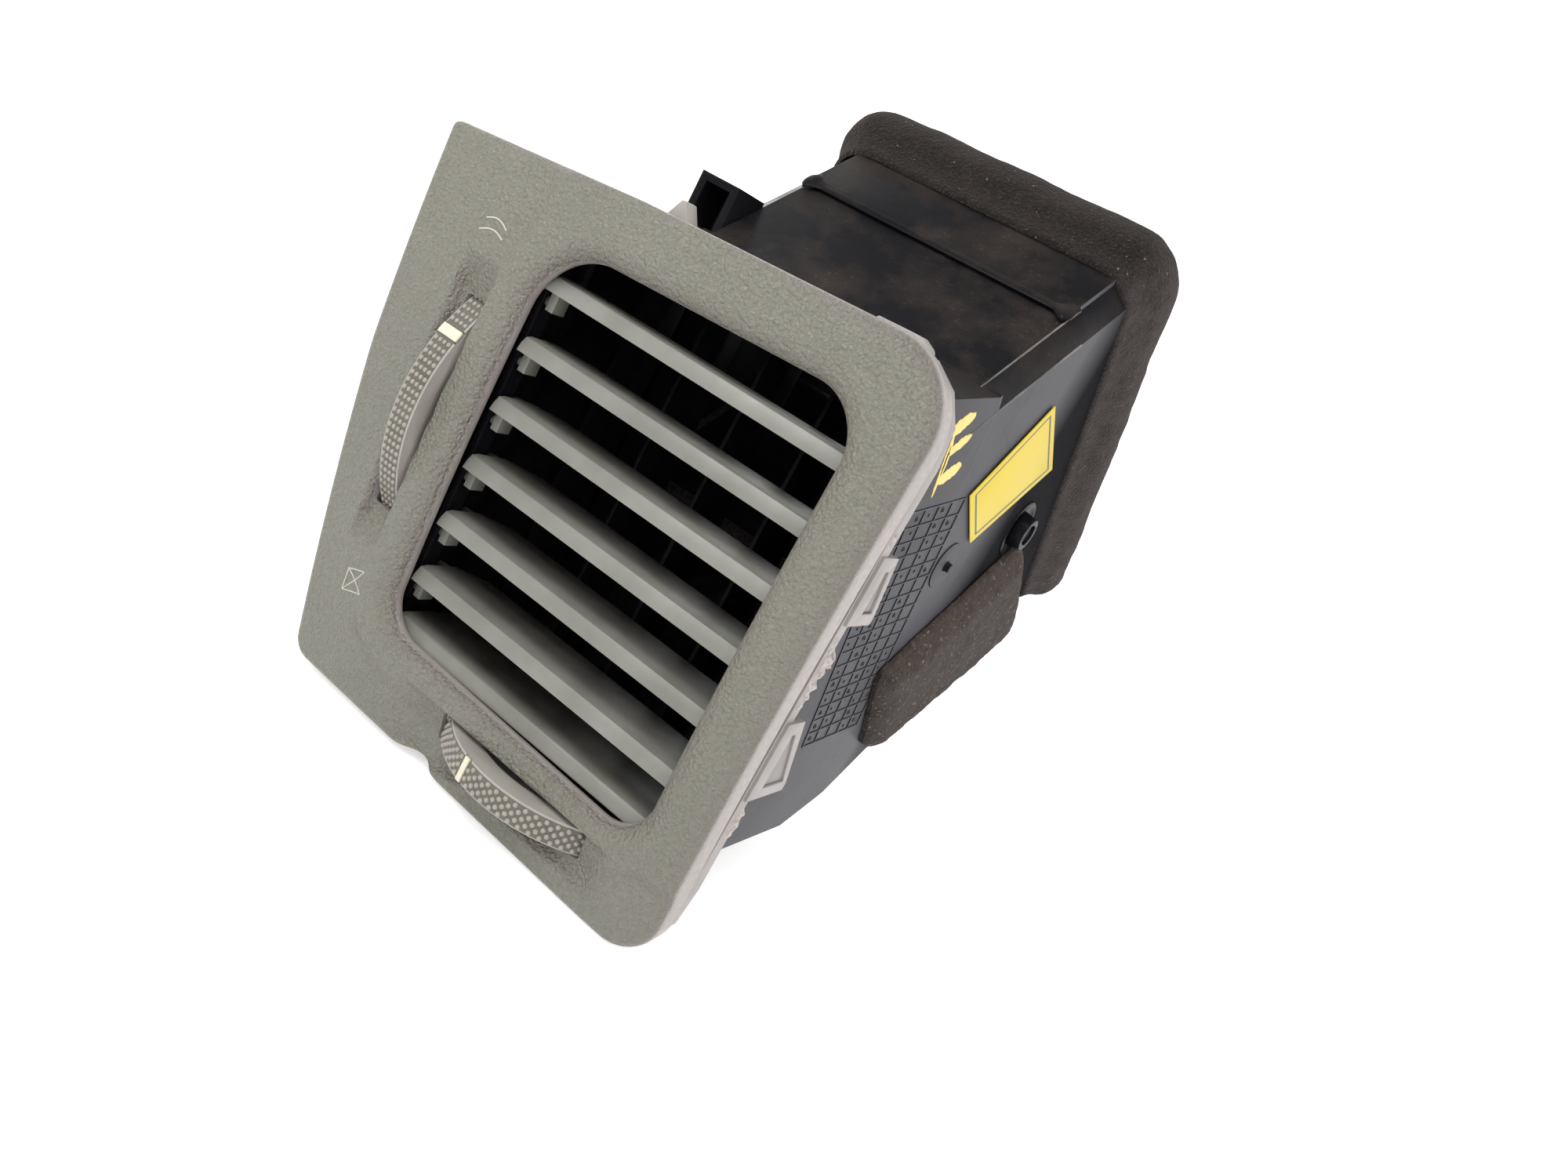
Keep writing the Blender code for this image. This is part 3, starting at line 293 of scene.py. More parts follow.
# ================ materials ======================================================================
class Nodes:
    """Short calls for building one procedural material."""

    def __init__(self, name, color, roughness):
        self.mat = bpy.data.materials.new(name)
        self.mat.use_nodes = True
        self.tree = self.mat.node_tree
        self.shader = self.tree.nodes["Principled BSDF"]
        self.set("Base Color", (*color, 1.0))
        self.set("Roughness", roughness)
        self.coords = self.add("ShaderNodeTexCoord").outputs["Object"]

    def add(self, kind, **values):
        node = self.tree.nodes.new(kind)
        for key, value in values.items():
            setattr(node, key, value)
        return node

    def link(self, a, b):
        self.tree.links.new(a, b)

    def set(self, socket, value):
        self.shader.inputs[socket].default_value = value

    def noise(self, size, detail=3.0, rough=0.55, coords=None):
        """Noise with features of the given size in millimetres."""
        node = self.add("ShaderNodeTexNoise")
        node.inputs["Scale"].default_value = 1.0 / (size * MM)
        node.inputs["Detail"].default_value = detail
        node.inputs["Roughness"].default_value = rough
        self.link(coords or self.coords, node.inputs["Vector"])
        return node.outputs["Fac"]

    def cells(self, size, coords):
        """Distance to the nearest of points scattered at the given spacing in millimetres."""
        node = self.add("ShaderNodeTexVoronoi", feature="F1")
        node.inputs["Scale"].default_value = 1.0 / (size * MM)
        self.link(coords, node.inputs["Vector"])
        return node.outputs["Distance"]

    def warped(self, size, amount):
        """Object coordinates pushed about by noise, so that cells don't look regular."""
        node = self.add("ShaderNodeTexNoise")
        node.inputs["Scale"].default_value = 1.0 / (size * MM)
        node.inputs["Detail"].default_value = 2.0
        self.link(self.coords, node.inputs["Vector"])
        move = self.add("ShaderNodeVectorMath", operation="MULTIPLY_ADD")
        self.link(node.outputs["Color"], move.inputs[0])
        move.inputs[1].default_value = (amount * MM,) * 3
        self.link(self.coords, move.inputs[2])
        return move.outputs[0]

    def ramp(self, value, stops):
        """Remap a value through (position, grey or colour) stops."""
        node = self.add("ShaderNodeValToRGB")
        while len(node.color_ramp.elements) < len(stops):
            node.color_ramp.elements.new(0.5)
        for element, (position, shade) in zip(node.color_ramp.elements, stops):
            element.position = position
            element.color = (*shade, 1.0) if isinstance(shade, tuple) else (shade, shade, shade, 1.0)
        self.link(value, node.inputs["Fac"])
        return node.outputs["Color"]

    def math(self, operation, a, b, clamp=False):
        """One sum on sockets or numbers."""
        node = self.add("ShaderNodeMath", operation=operation, use_clamp=clamp)
        for socket, value in zip(node.inputs, (a, b)):
            if isinstance(value, (int, float)):
                socket.default_value = value
            else:
                self.link(value, socket)
        return node.outputs[0]

    def mix(self, factor, a, b):
        """Colour that goes from a to b with the factor."""
        node = self.add("ShaderNodeMix", data_type="RGBA", blend_type="MIX")
        for socket, value in ((node.inputs[0], factor), (node.inputs[6], a), (node.inputs[7], b)):
            if isinstance(value, (int, float)):
                socket.default_value = value
            elif isinstance(value, tuple):
                socket.default_value = (*value, 1.0)
            else:
                self.link(value, socket)
        return node.outputs[2]

    def facing(self, axis):
        """How far the surface faces along +X, +Y or +Z, from -1 to 1."""
        normal = self.add("ShaderNodeNewGeometry").outputs["Normal"]
        split = self.add("ShaderNodeSeparateXYZ")
        self.link(normal, split.inputs[0])
        return split.outputs["XYZ".index(axis)]

    def span(self, value, start, stop, low=0.0, high=1.0):
        """Map a coordinate from start to stop, in millimetres, onto low to high."""
        node = self.add("ShaderNodeMapRange")
        self.link(value, node.inputs["Value"])
        node.inputs["From Min"].default_value, node.inputs["From Max"].default_value = start * MM, stop * MM
        node.inputs["To Min"].default_value, node.inputs["To Max"].default_value = low, high
        return node.outputs[0]

    def place_xyz(self):
        """X, Y and Z of the surface in the vent's own axes, in metres."""
        split = self.add("ShaderNodeSeparateXYZ")
        self.link(self.coords, split.inputs[0])
        return split.outputs

    def bump(self, height, strength, depth, below=None):
        """Bump of the given depth in millimetres, over the bump below it if there is one."""
        node = self.add("ShaderNodeBump")
        node.inputs["Strength"].default_value = strength
        node.inputs["Distance"].default_value = depth * MM
        self.link(height, node.inputs["Height"])
        if below is not None:
            self.link(below, node.inputs["Normal"])
        return node.outputs["Normal"]

    def color(self, socket):
        self.link(socket, self.shader.inputs["Base Color"])

    def rough(self, socket):
        self.link(socket, self.shader.inputs["Roughness"])

    def normal(self, socket):
        self.link(socket, self.shader.inputs["Normal"])


def grained_plastic():
    """Leather-grained moulding: irregular domed cells with creases, dirt in the hollows."""
    n = Nodes("bezel_grain", (0.235, 0.22, 0.185), 0.5)
    warped = n.warped(1.0, 0.7)
    coarse, small = n.cells(0.72, warped), n.cells(0.36, warped)
    long = n.noise(0.62, 3.0, 0.6, coords=warped)
    height = n.math("ADD", n.math("MULTIPLY", coarse, -1.0), n.math("MULTIPLY", small, -0.35))
    height = n.math("ADD", height, n.math("MULTIPLY", long, 1.1))
    front = n.ramp(n.math("MULTIPLY", n.facing("Y"), -1.0), [(0.05, 0.04), (0.45, 1.0)])
    node = n.add("ShaderNodeBump")
    node.inputs["Distance"].default_value = 0.38 * MM
    n.link(front, node.inputs["Strength"])
    n.link(height, node.inputs["Height"])
    n.normal(node.outputs["Normal"])
    base = n.mix(n.noise(24.0, 3.0), (0.120, 0.118, 0.092), (0.148, 0.144, 0.116))
    hollow = n.ramp(n.math("ADD", coarse, n.math("MULTIPLY", long, -0.35)), [(0.18, 0.0), (0.6, 0.4)])
    base = n.mix(hollow, base, (0.105, 0.095, 0.073))
    # painted light: faces turning away from the front, as on the rounded lips, are tinted pinker
    tilt = n.ramp(n.math("MULTIPLY", n.facing("Y"), -1.0), [(0.4, 1.0), (0.93, 0.25), (0.99, 0.0)])
    base = n.mix(n.math("MULTIPLY", tilt, 0.75), base, (0.132, 0.110, 0.10))
    # the sides have no grain; painted light makes faces turned sideways paler and pinker
    side = n.ramp(n.math("MULTIPLY", n.facing("Y"), -1.0), [(0.1, 1.0), (0.5, 0.0)])
    base = n.mix(side, base, (0.265, 0.237, 0.226))
    grime = n.ramp(n.noise(5.0, 5.0, 0.65), [(0.52, 0.0), (0.8, 0.35)])
    n.color(n.mix(grime, base, (0.14, 0.123, 0.102)))
    n.rough(n.ramp(n.noise(1.2, 3.0), [(0.3, 0.28), (0.7, 0.48)]))
    n.set("Specular IOR Level", 0.55)
    return n.mat


def satin_plastic(name, low, high, rough=(0.38, 0.5), speck=0.5, grime_and_shade_span=None):
    """Smooth moulding with a faint spark texture and cloudy colour.

    The last argument is a pair of Y positions between which the colour goes over to a dark tone: some
    grime, and painted shade from the blade above.
    """
    n = Nodes(name, high, rough[0])
    cloud = n.noise(14.0, 4.0)
    base = n.mix(n.ramp(cloud, [(0.35, 0.0), (0.65, 1.0)]), low, high)
    dirt = n.ramp(n.noise(2.4, 5.0, 0.7), [(0.6, 0.0), (0.85, speck * 0.5)])
    base = n.mix(dirt, base, tuple(0.62 * c for c in low))
    if grime_and_shade_span:
        # painted shade: the blade darkens towards its back, shade from the blade above with some grime
        deep = n.span(n.place_xyz()[1], *grime_and_shade_span)
        uneven = n.ramp(n.noise(9.0, 4.0), [(0.3, 0.7), (0.7, 1.0)])
        base = n.mix(n.math("MULTIPLY", deep, uneven), base, (0.032, 0.028, 0.022))
    n.color(base)
    n.rough(n.ramp(n.noise(3.0, 4.0), [(0.3, rough[0]), (0.7, rough[1])]))
    n.normal(n.bump(n.noise(0.28, 2.0), 0.12, 0.05))
    return n.mat


def wheel_plastic(name):
    """Thumbwheel moulding: cloudy colour, with painted shade in its hollows so that the tips stand pale."""
    n = Nodes(name, (0.25, 0.235, 0.2), 0.45)
    base = n.mix(n.noise(4.0, 3.0), (0.20, 0.188, 0.156), (0.27, 0.254, 0.217))
    # painted shade: concave places, found from pointiness, are darkened
    hollow = n.ramp(n.add("ShaderNodeNewGeometry").outputs["Pointiness"], [(0.44, 1.0), (0.5, 0.0)])
    n.color(n.mix(n.math("MULTIPLY", hollow, 0.6), base, (0.09, 0.078, 0.062)))
    n.rough(n.ramp(n.noise(0.8, 3.0), [(0.3, 0.36), (0.7, 0.52)]))
    n.normal(n.bump(n.noise(0.3, 2.0), 0.1, 0.05))
    return n.mat


def black_plastic(name, dusty=0.0, gloss=0.28, side_sheen=0.0):
    """Black moulding: semi-gloss, with flow marks, scuffs and dust on what faces up.

    The last argument greys the faces towards +X, which are matt, with a slightly milky painted sheen as far
    as the foam.
    """
    n = Nodes(name, (0.012, 0.012, 0.014), gloss)
    base = n.mix(n.noise(30.0, 3.0), (0.004, 0.004, 0.005), (0.008, 0.008, 0.010))
    scuff = n.ramp(n.noise(6.0, 8.0, 0.7), [(0.55, 0.0), (0.75, 0.5)])
    rough = n.math("ADD", n.math("MULTIPLY", scuff, 0.16), gloss)
    if side_sheen:
        # painted sheen: the faces towards +X are greyed, standing for a pale reflection on them
        east = n.ramp(n.facing("X"), [(0.75, 0.0), (0.97, 1.0)])
        film = n.math("MULTIPLY", east, n.ramp(n.noise(26.0, 4.0, 0.5), [(0.3, 0.72), (0.6, 1.0)]))
        x, y, _ = n.place_xyz()
        film = n.math("MULTIPLY", film, n.math("GREATER_THAN", x, 30 * MM))
        near = n.span(y, 55, 69, 1.0, 0.0)
        film = n.math("MULTIPLY", film, near)
        far = n.math("MULTIPLY", east, n.math("SUBTRACT", 1.0, near))
        rough = n.math("ADD", rough, n.math("MULTIPLY", far, 0.55), True)
        base = n.mix(n.math("MULTIPLY", film, side_sheen), base, (0.085, 0.083, 0.092))
        rough = n.math("ADD", rough, n.math("MULTIPLY", film, 0.18))
    if dusty:
        up = n.ramp(n.facing("Z"), [(0.45, 0.0), (0.8, 1.0)])
        cloud = n.ramp(n.noise(17.0, 7.0, 0.66), [(0.42, 0.05), (0.72, 1.0)])
        film = n.math("MULTIPLY", n.math("MULTIPLY", up, cloud), dusty)
        grit = n.ramp(n.noise(0.55, 2.0), [(0.64, 0.0), (0.72, 1.0)])
        base = n.mix(film, base, (0.034, 0.026, 0.022))
        base = n.mix(n.math("MULTIPLY", n.math("MULTIPLY", grit, film), 0.5), base, (0.16, 0.135, 0.115))
        rough = n.math("ADD", rough, n.math("MULTIPLY", film, 0.4))
    n.color(base)
    n.rough(rough)
    n.set("Specular IOR Level", 0.05)
    low = n.bump(n.noise(9.0, 3.0), 0.25, 0.5)
    n.normal(n.bump(n.noise(0.4, 2.0), 0.08, 0.04, low))
    return n.mat


def foam(name, dark, light, lit, edge, fleck):
    """Open-cell foam with a short matted nap; painted light makes its faces towards +X and its upward faces
    lighter.
    """
    n = Nodes(name, dark, 0.95)
    nap = n.noise(0.45, 4.0, 0.75)
    patch = n.noise(4.5, 7.0, 0.72)
    base = n.mix(n.ramp(patch, [(0.35, 0.0), (0.7, 0.8)]), dark, light)
    # painted light: faces towards +X are lighter, in patches, as if lit from the side
    outer = n.math("MULTIPLY", n.ramp(n.facing("X"), [(0.25, 0.0), (0.95, 1.0)]),
                   n.ramp(n.noise(3.0, 6.0, 0.7), [(0.3, 0.35), (0.65, 1.0)]))
    base = n.mix(outer, base, lit)
    base = n.mix(n.ramp(nap, [(0.52, 0.0), (0.75, 0.6)]), base, tuple(1.6 * c for c in lit))
    # painted light: upward faces take the edge colour, as if lit from above
    upper = n.math("MULTIPLY", n.ramp(n.facing("Z"), [(0.3, 0.0), (0.85, 1.0)]),
                   n.ramp(n.noise(2.0, 6.0, 0.7), [(0.3, 0.3), (0.65, 1.0)]))
    base = n.mix(upper, base, edge)
    lint = n.ramp(n.noise(0.8, 2.0), [(fleck, 0.0), (fleck + 0.05, 0.8)])
    n.color(n.mix(lint, base, (0.24, 0.215, 0.2)))
    pits = n.cells(0.7, n.warped(1.2, 0.6))
    height = n.math("ADD", n.math("MULTIPLY", nap, 0.9), n.math("MULTIPLY", pits, 0.8))
    n.normal(n.bump(height, 1.0, 0.45, n.bump(n.noise(4.0, 3.0), 0.5, 1.0)))
    n.set("Sheen Weight", 0.12)
    n.set("Sheen Roughness", 0.4)
    n.set("Sheen Tint", (0.62, 0.55, 0.5, 1.0))
    n.set("Specular IOR Level", 0.1)
    return n.mat


def printed(name, color, worn, rough=0.42):
    """Printed film or paint: even colour with small worn spots."""
    n = Nodes(name, color, rough)
    spots = n.ramp(n.noise(0.7, 4.0, 0.7), [(0.60, 0.0), (0.78, 0.6)])
    tone = n.mix(n.noise(9.0, 3.0), color, tuple(0.86 * c for c in color))
    n.color(n.mix(spots, tone, worn))
    n.normal(n.bump(n.noise(3.5, 3.0), 0.15, 0.25))
    return n.mat


def steel(name):
    """Turned pin: bare metal with patches of duller surface."""
    n = Nodes(name, (0.5, 0.5, 0.51), 0.3)
    n.set("Metallic", 1.0)
    n.rough(n.ramp(n.noise(1.5, 4.0), [(0.3, 0.22), (0.7, 0.42)]))
    n.normal(n.bump(n.noise(0.25, 2.0), 0.1, 0.03))
    return n.mat


def residue_plaster(name):
    """Crumbly whitish remains of glue on the flange."""
    n = Nodes(name, (0.44, 0.4, 0.385), 0.9)
    lump = n.noise(0.9, 6.0, 0.7)
    n.color(n.ramp(lump, [(0.3, (0.20, 0.17, 0.16)), (0.48, (0.42, 0.375, 0.36)),
                          (0.75, (0.58, 0.54, 0.52))]))
    n.normal(n.bump(lump, 0.9, 0.5))
    return n.mat


# ================ bezel ==========================================================================
def face_y(z):
    """Y of the face's gentle bow, before the crown."""
    return FACE_Y + FACE_BOW * (z - FACE_MID_Z) ** 2


def rounding(distance, width, depth):
    """Quarter-ellipse fall from 0 at the given width to depth at the edge."""
    t = 1 - np.clip(distance / width, 0, 1)
    return depth * (1 - np.sqrt(np.clip(1 - t * t, 0, 1)))


def left_pocket(x, z):
    """Finger recess at the left wheel: soft outer bank, ramps at both ends."""
    ramp_top, ramp_low = np.clip((29.3 - z) / 7.0, 0, 1) ** 0.8, np.clip((z + 29.0) / 8.0, 0, 1) ** 0.8
    bank = smooth((x + 49.4 + 0.03 * (z - 29)) / np.where(abs(z) > 23, 1.2, 2.2))
    inner = 1 - smooth((x + 40.9) / 0.9)
    return LEFT_POCKET * ramp_top * ramp_low * bank * inner


def low_pocket(x, z):
    """Finger recess at the lower wheel; on its left it runs out over the lower edge."""
    ramp_left, ramp_right = smooth((x + 24.5) / 12.0), smooth((34.5 - x) / 8.5)
    bank_z = -53.6 - 3.4 * smooth((2.0 - x) / 14.0) - 0.8 * smooth((x - 22.0) / 8.0)
    bank = smooth((z - bank_z + 1.2) / 2.2)
    top = 1 - smooth((z + 45.4) / 0.9)
    return LOW_POCKET * ramp_left * ramp_right * bank * top


def face(x, z):
    """Y of the bezel's front surface at each X, Z."""
    x, z = np.asarray(x, float), np.asarray(z, float)
    from_rim, from_edge = loop_distance(RIM_LOOP, x, z), loop_distance(EDGE_LOOP, x, z)
    y = face_y(z) - CROWN
    y = y + rounding(from_rim, *LIP_ROUND)
    soft = smooth((x + 0.3 * z - 12.0) / 26.0)
    y = y + soft * rounding(from_edge, *EDGE_ROUND) + (1 - soft) * rounding(from_edge, *EDGE_TIGHT)
    beside = np.maximum(smooth((-36.0 - x) / 4.0), smooth((-42.5 - z) / 3.0))
    y = y + PANEL_DROP * smooth((from_rim - 6.0) / 4.5) * beside
    return y + left_pocket(x, z) + low_pocket(x, z)


def make_bezel(mat):
    """Shell lofted outwards from the opening and back again behind the face, with two wheel windows."""
    angles = np.linspace(0, 2 * math.pi, 840, endpoint=False)
    rim, edge = loop_reach(RIM_LOOP, angles), loop_reach(EDGE_LOOP, angles)
    notch = np.where(np.sin(angles) < 0, 2.0 * np.exp(-((edge * np.cos(angles) + 13.0) / 5.5) ** 2), 0.0)
    edge = edge - notch
    t = np.linspace(0, 1, 62)
    share = 0.55 * (0.5 - 0.5 * np.cos(math.pi * t)) + 0.45 * t
    reach = rim[:, None] + (edge - rim)[:, None] * share
    cos, sin = np.cos(angles), np.sin(angles)
    x, z = reach * cos[:, None], reach * sin[:, None]
    y = face(x, z)
    rows = [np.stack([x[:, j], y[:, j], z[:, j]], 1) for j in range(len(t))]

    def ring(radius, depth):
        return np.stack([radius * cos, depth, radius * sin], 1)
    edge_z = edge * sin
    skirt = np.minimum(face_y(edge_z) + 4.6, SKIRT_Y)
    for part in (0.35, 0.7, 1.0):
        rows.append(ring(edge - 0.25 * part, y[:, -1] + (skirt - y[:, -1]) * part))
    rows.append(ring(edge - 1.7, skirt))
    rows.append(ring(edge - 2.1, y[:, -1] + 1.2))
    for j in range(len(t) - 6, 5, -2):
        inner = np.minimum(np.maximum(reach[:, j], rim + 1.8), edge - 2.4)
        pocket = left_pocket(x[:, j], z[:, j]) + low_pocket(x[:, j], z[:, j])
        rows.append(ring(inner, np.minimum(y[:, j] + WALL - 0.35 * pocket, skirt - 0.2)))
    rows.append(ring(rim + 1.7, y[:, 0] + 1.1))
    rows.append(ring(rim + 0.2, y[:, 0] + 1.3))
    rows.append(ring(rim, y[:, 0] + 1.1))
    rows.append(ring(rim, y[:, 0] + 0.3))
    obj = new_object("bezel_skin", loft(rows), mat, "root")
    cutters = []
    for (x0, x1), (z0, z1) in (LEFT_SLOT, LOW_SLOT):
        bm = box_bm((x0, SLOT_CUT_Y[0], z0), (x1, SLOT_CUT_Y[1], z1))
        upright = [e for e in bm.edges if abs(e.verts[0].co.y - e.verts[1].co.y) > 1]
        bmesh.ops.bevel(bm, geom=upright, offset=0.7, segments=4, affect="EDGES", profile=0.5)
        cutter = new_object("slot_cutter", bm, mat)
        cutters.append(cutter)
        mod = obj.modifiers.new("slot", "BOOLEAN")
        mod.operation = "DIFFERENCE"
        mod.object = cutter
    bpy.context.view_layer.update()
    apply_modifiers(obj)
    for cutter in cutters:
        bpy.data.objects.remove(cutter, do_unlink=True)
    obj.data.shade_smooth()
    obj.data.set_sharp_from_angle(angle=math.radians(50.0))
    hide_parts("bezel")


def ribbon_on_face(name, lines, width, mat):
    """Thin printed strokes that follow the bezel's face; lines are lists of X, Z points."""
    bm = bmesh.new()
    for line in lines:
        points = np.array(line, float)
        tangent = np.gradient(points, axis=0)
        side = np.stack([-tangent[:, 1], tangent[:, 0]], 1)
        side /= np.linalg.norm(side, axis=1)[:, None]
        rows = []
        for s, lift in ((-0.5, 0.04), (-0.3, -0.06), (0.3, -0.06), (0.5, 0.04)):
            p = points + side * width * s
            rows.append(np.stack([p[:, 0], face(p[:, 0], p[:, 1]) + lift, p[:, 1]], 1))
        loft(rows, False, False, bm)
    new_object(name, bm, mat, "root")


def make_symbols(mat):
    """Open and shut marks beside the left wheel: two curved strokes, and a crossed wedge."""
    def curve(a, b, rise, steps=12):
        t = np.linspace(0, 1, steps)
        return [(a[0] + (b[0] - a[0]) * s, a[1] + (b[1] - a[1]) * s + rise * math.sin(math.pi * s))
                for s in t]
    ribbon_on_face("open_symbol", [curve((-48.8, 35.6), (-43.4, 35.3), 0.9),
                                   curve((-49.2, 33.2), (-43.3, 33.5), 0.9)], 0.32, mat)

    def line(a, b):
        t = np.linspace(0, 1, 10)
        return [(a[0] + (b[0] - a[0]) * s, a[1] + (b[1] - a[1]) * s) for s in t]
    tl, tr, bl, br = (-44.4, -34.9), (-39.9, -33.2), (-44.2, -39.4), (-39.0, -37.6)
    ribbon_on_face("shut_symbol", [line(tl, tr), line(tl, br), line(bl, tr), line(bl, br), line(bl, tl)],
                   0.26, mat)


# ================ thumbwheels ====================================================================
def wheel_point(wheel, radius, angle, depth):
    """Point at a radius and angle on a wheel, at a depth along its axis."""
    a, b = wheel["centre"]
    p, q = a + radius * math.cos(angle), b + radius * math.sin(angle)
    return Vector((depth, p, q)) if wheel["axis"] == "X" else Vector((p, q, depth))


def add_bump(bm, wheel, angle, depth, half_round, half_across):
    """One low dome on the wheel's rim."""
    base = wheel["radius"] - BUMP
    rings = []
    for scale, lift in ((1.0, -0.08), (0.88, 0.24), (0.58, 0.36)):
        ring = []
        for k in range(10):
            turn = 2 * math.pi * k / 10
            a = angle + scale * half_round * math.cos(turn) / base
            across = depth + scale * half_across * math.sin(turn)
            ring.append(bm.verts.new(wheel_point(wheel, base + lift, a, across)))
        rings.append(ring)
    top = bm.verts.new(wheel_point(wheel, base + BUMP - 0.01, angle, depth))
    for one, two in zip(rings, rings[1:]):
        for k in range(10):
            bm.faces.new((one[k], one[(k + 1) % 10], two[(k + 1) % 10], two[k]))
    for k in range(10):
        bm.faces.new((rings[-1][k], rings[-1][(k + 1) % 10], top))


def shrink_rim(wheel):
    """The wheel's rim pulled in by the height of the knurling that stands on it."""
    def move(bm):
        i, j = (1, 2) if wheel["axis"] == "X" else (0, 1)
        for vert in bm.verts:
            a, b = vert.co[i] / MM - wheel["centre"][0], vert.co[j] / MM - wheel["centre"][1]
            radius = math.hypot(a, b)
            if abs(radius - wheel["radius"]) < 0.3:          # not the gear teeth further out
                scale = (wheel["radius"] - BUMP) / radius
                vert.co[i] = (wheel["centre"][0] + a * scale) * MM
                vert.co[j] = (wheel["centre"][1] + b * scale) * MM
    return move


def make_wheels(knurl, side, floor):
    """Both thumbwheels: straight rows of bumps on the left one, staggered rows on the lower one."""
    for wheel in (LEFT_WHEEL, LOW_WHEEL):
        node = wheel["node"]
        skin(node, side, 0.45, 28.0, shrink_rim(wheel))
        bm = bmesh.new()
        low, high = wheel["depth"]
        start, stop = wheel["span"]
        if wheel is LEFT_WHEEL:
            for angle in np.arange(start, stop, LEFT_PITCH):
                if abs(angle - wheel["mark"]) > 2.6:
                    for depth in np.linspace(low + 0.75, high - 0.95, 4):
                        add_bump(bm, wheel, math.radians(angle), depth, 0.5, 0.47)
        else:
            for k, angle in enumerate(np.arange(start, stop, LOW_PITCH)):
                if abs(angle - wheel["mark"]) > 2.9:
                    for depth in np.linspace(low + 0.65, high - 1.1, 5)[k % 2::2]:
                        add_bump(bm, wheel, math.radians(angle), depth, 0.52, 0.5)
        new_object(node + "_knurl", bm, knurl, BODY_OF[node], 60.0)
        # painted shade: a dark sheet under the bumps stands for the shade between them
        base = wheel["radius"] - BUMP + 0.03
        rows = [[wheel_point(wheel, base, math.radians(angle), depth)
                 for angle in np.arange(start, stop - 1.0, 1.0)] for depth in (low + 0.25, high - 0.45)]
        new_object(node + "_knurl_floor", loft(rows, False, False), floor, BODY_OF[node])


# ================ foam ===========================================================================
def rounded_rect(low_x, high_x, low_u, high_u, top_radius, low_radius, arc=14, straight=44):
    """Closed loop of X, up points, with the same number of points whatever its size."""
    corners = [((low_x, high_u), top_radius, 90), ((low_x, low_u), low_radius, 180),
               ((high_x, low_u), low_radius, 270), ((high_x, high_u), top_radius, 0)]
    arcs = []
    for (x, u), radius, start in corners:
        cx = x + radius if x == low_x else x - radius
        cu = u + radius if u == low_u else u - radius
        arcs.append([(cx + radius * math.cos(math.radians(start + 90 * k / arc)),
                      cu + radius * math.sin(math.radians(start + 90 * k / arc))) for k in range(arc + 1)])
    points = []
    for i, arc_points in enumerate(arcs):
        points += arc_points
        a, b = arc_points[-1], arcs[(i + 1) % 4][0]
        points += [(a[0] + (b[0] - a[0]) * k / straight, a[1] + (b[1] - a[1]) * k / straight)
                   for k in range(1, straight)]
    return points


def make_gasket(mat):
    """Foam collar round the duct's mouth: a thin skirt that flares into a soft rounded crest."""
    front, rear = GASKET_SPAN
    profile = [(front, 0.0), (front + 0.3, 0.7), (front + 1.8, 1.1), (front + 3.4, 1.75),
               (front + 5.0, 2.6), (front + 6.5, 3.6), (front + 8.0, 4.4), (front + 9.8, 4.85),
               (front + 11.8, 4.95), (front + 13.6, 4.7), (front + 15.2, 4.0), (front + 16.4, 2.7),
               (rear, 1.2), (rear, 0.25), (rear - 6.0, 0.12), (front + 6.0, 0.12)]
    rows = []
    for along, lift in profile:
        loop = rounded_rect(DUCT_X[0] - lift, DUCT_X[1] + lift, DUCT_LOW - lift * 1.1, 1.4 + lift,
                            8.8 + 0.4 * lift, 1.2 + lift)
        row = []
        for x, up in loop:
            y, z = duct_point(along, up)
            soft = max(0.0, lift - 0.3)
            sway = wobble((x, y, z), 14.0, 2.0) * 0.30 + wobble((x, y, z), 3.2, 5.0) * 0.10
            centre_x, centre_u = 3.0, -43.0
            out = Vector((x - centre_x, up - centre_u)).normalized() * min(sway, 0.12) * soft * 0.5
            y, z = duct_point(along + sway * 0.7 * min(1.0, soft), up + out[1])
            row.append((x + out[0], y, z))
        rows.append(row)
    obj = new_object("gasket_collar", loft(rows), mat, "root", 75.0)
    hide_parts("rear_foam_gasket")


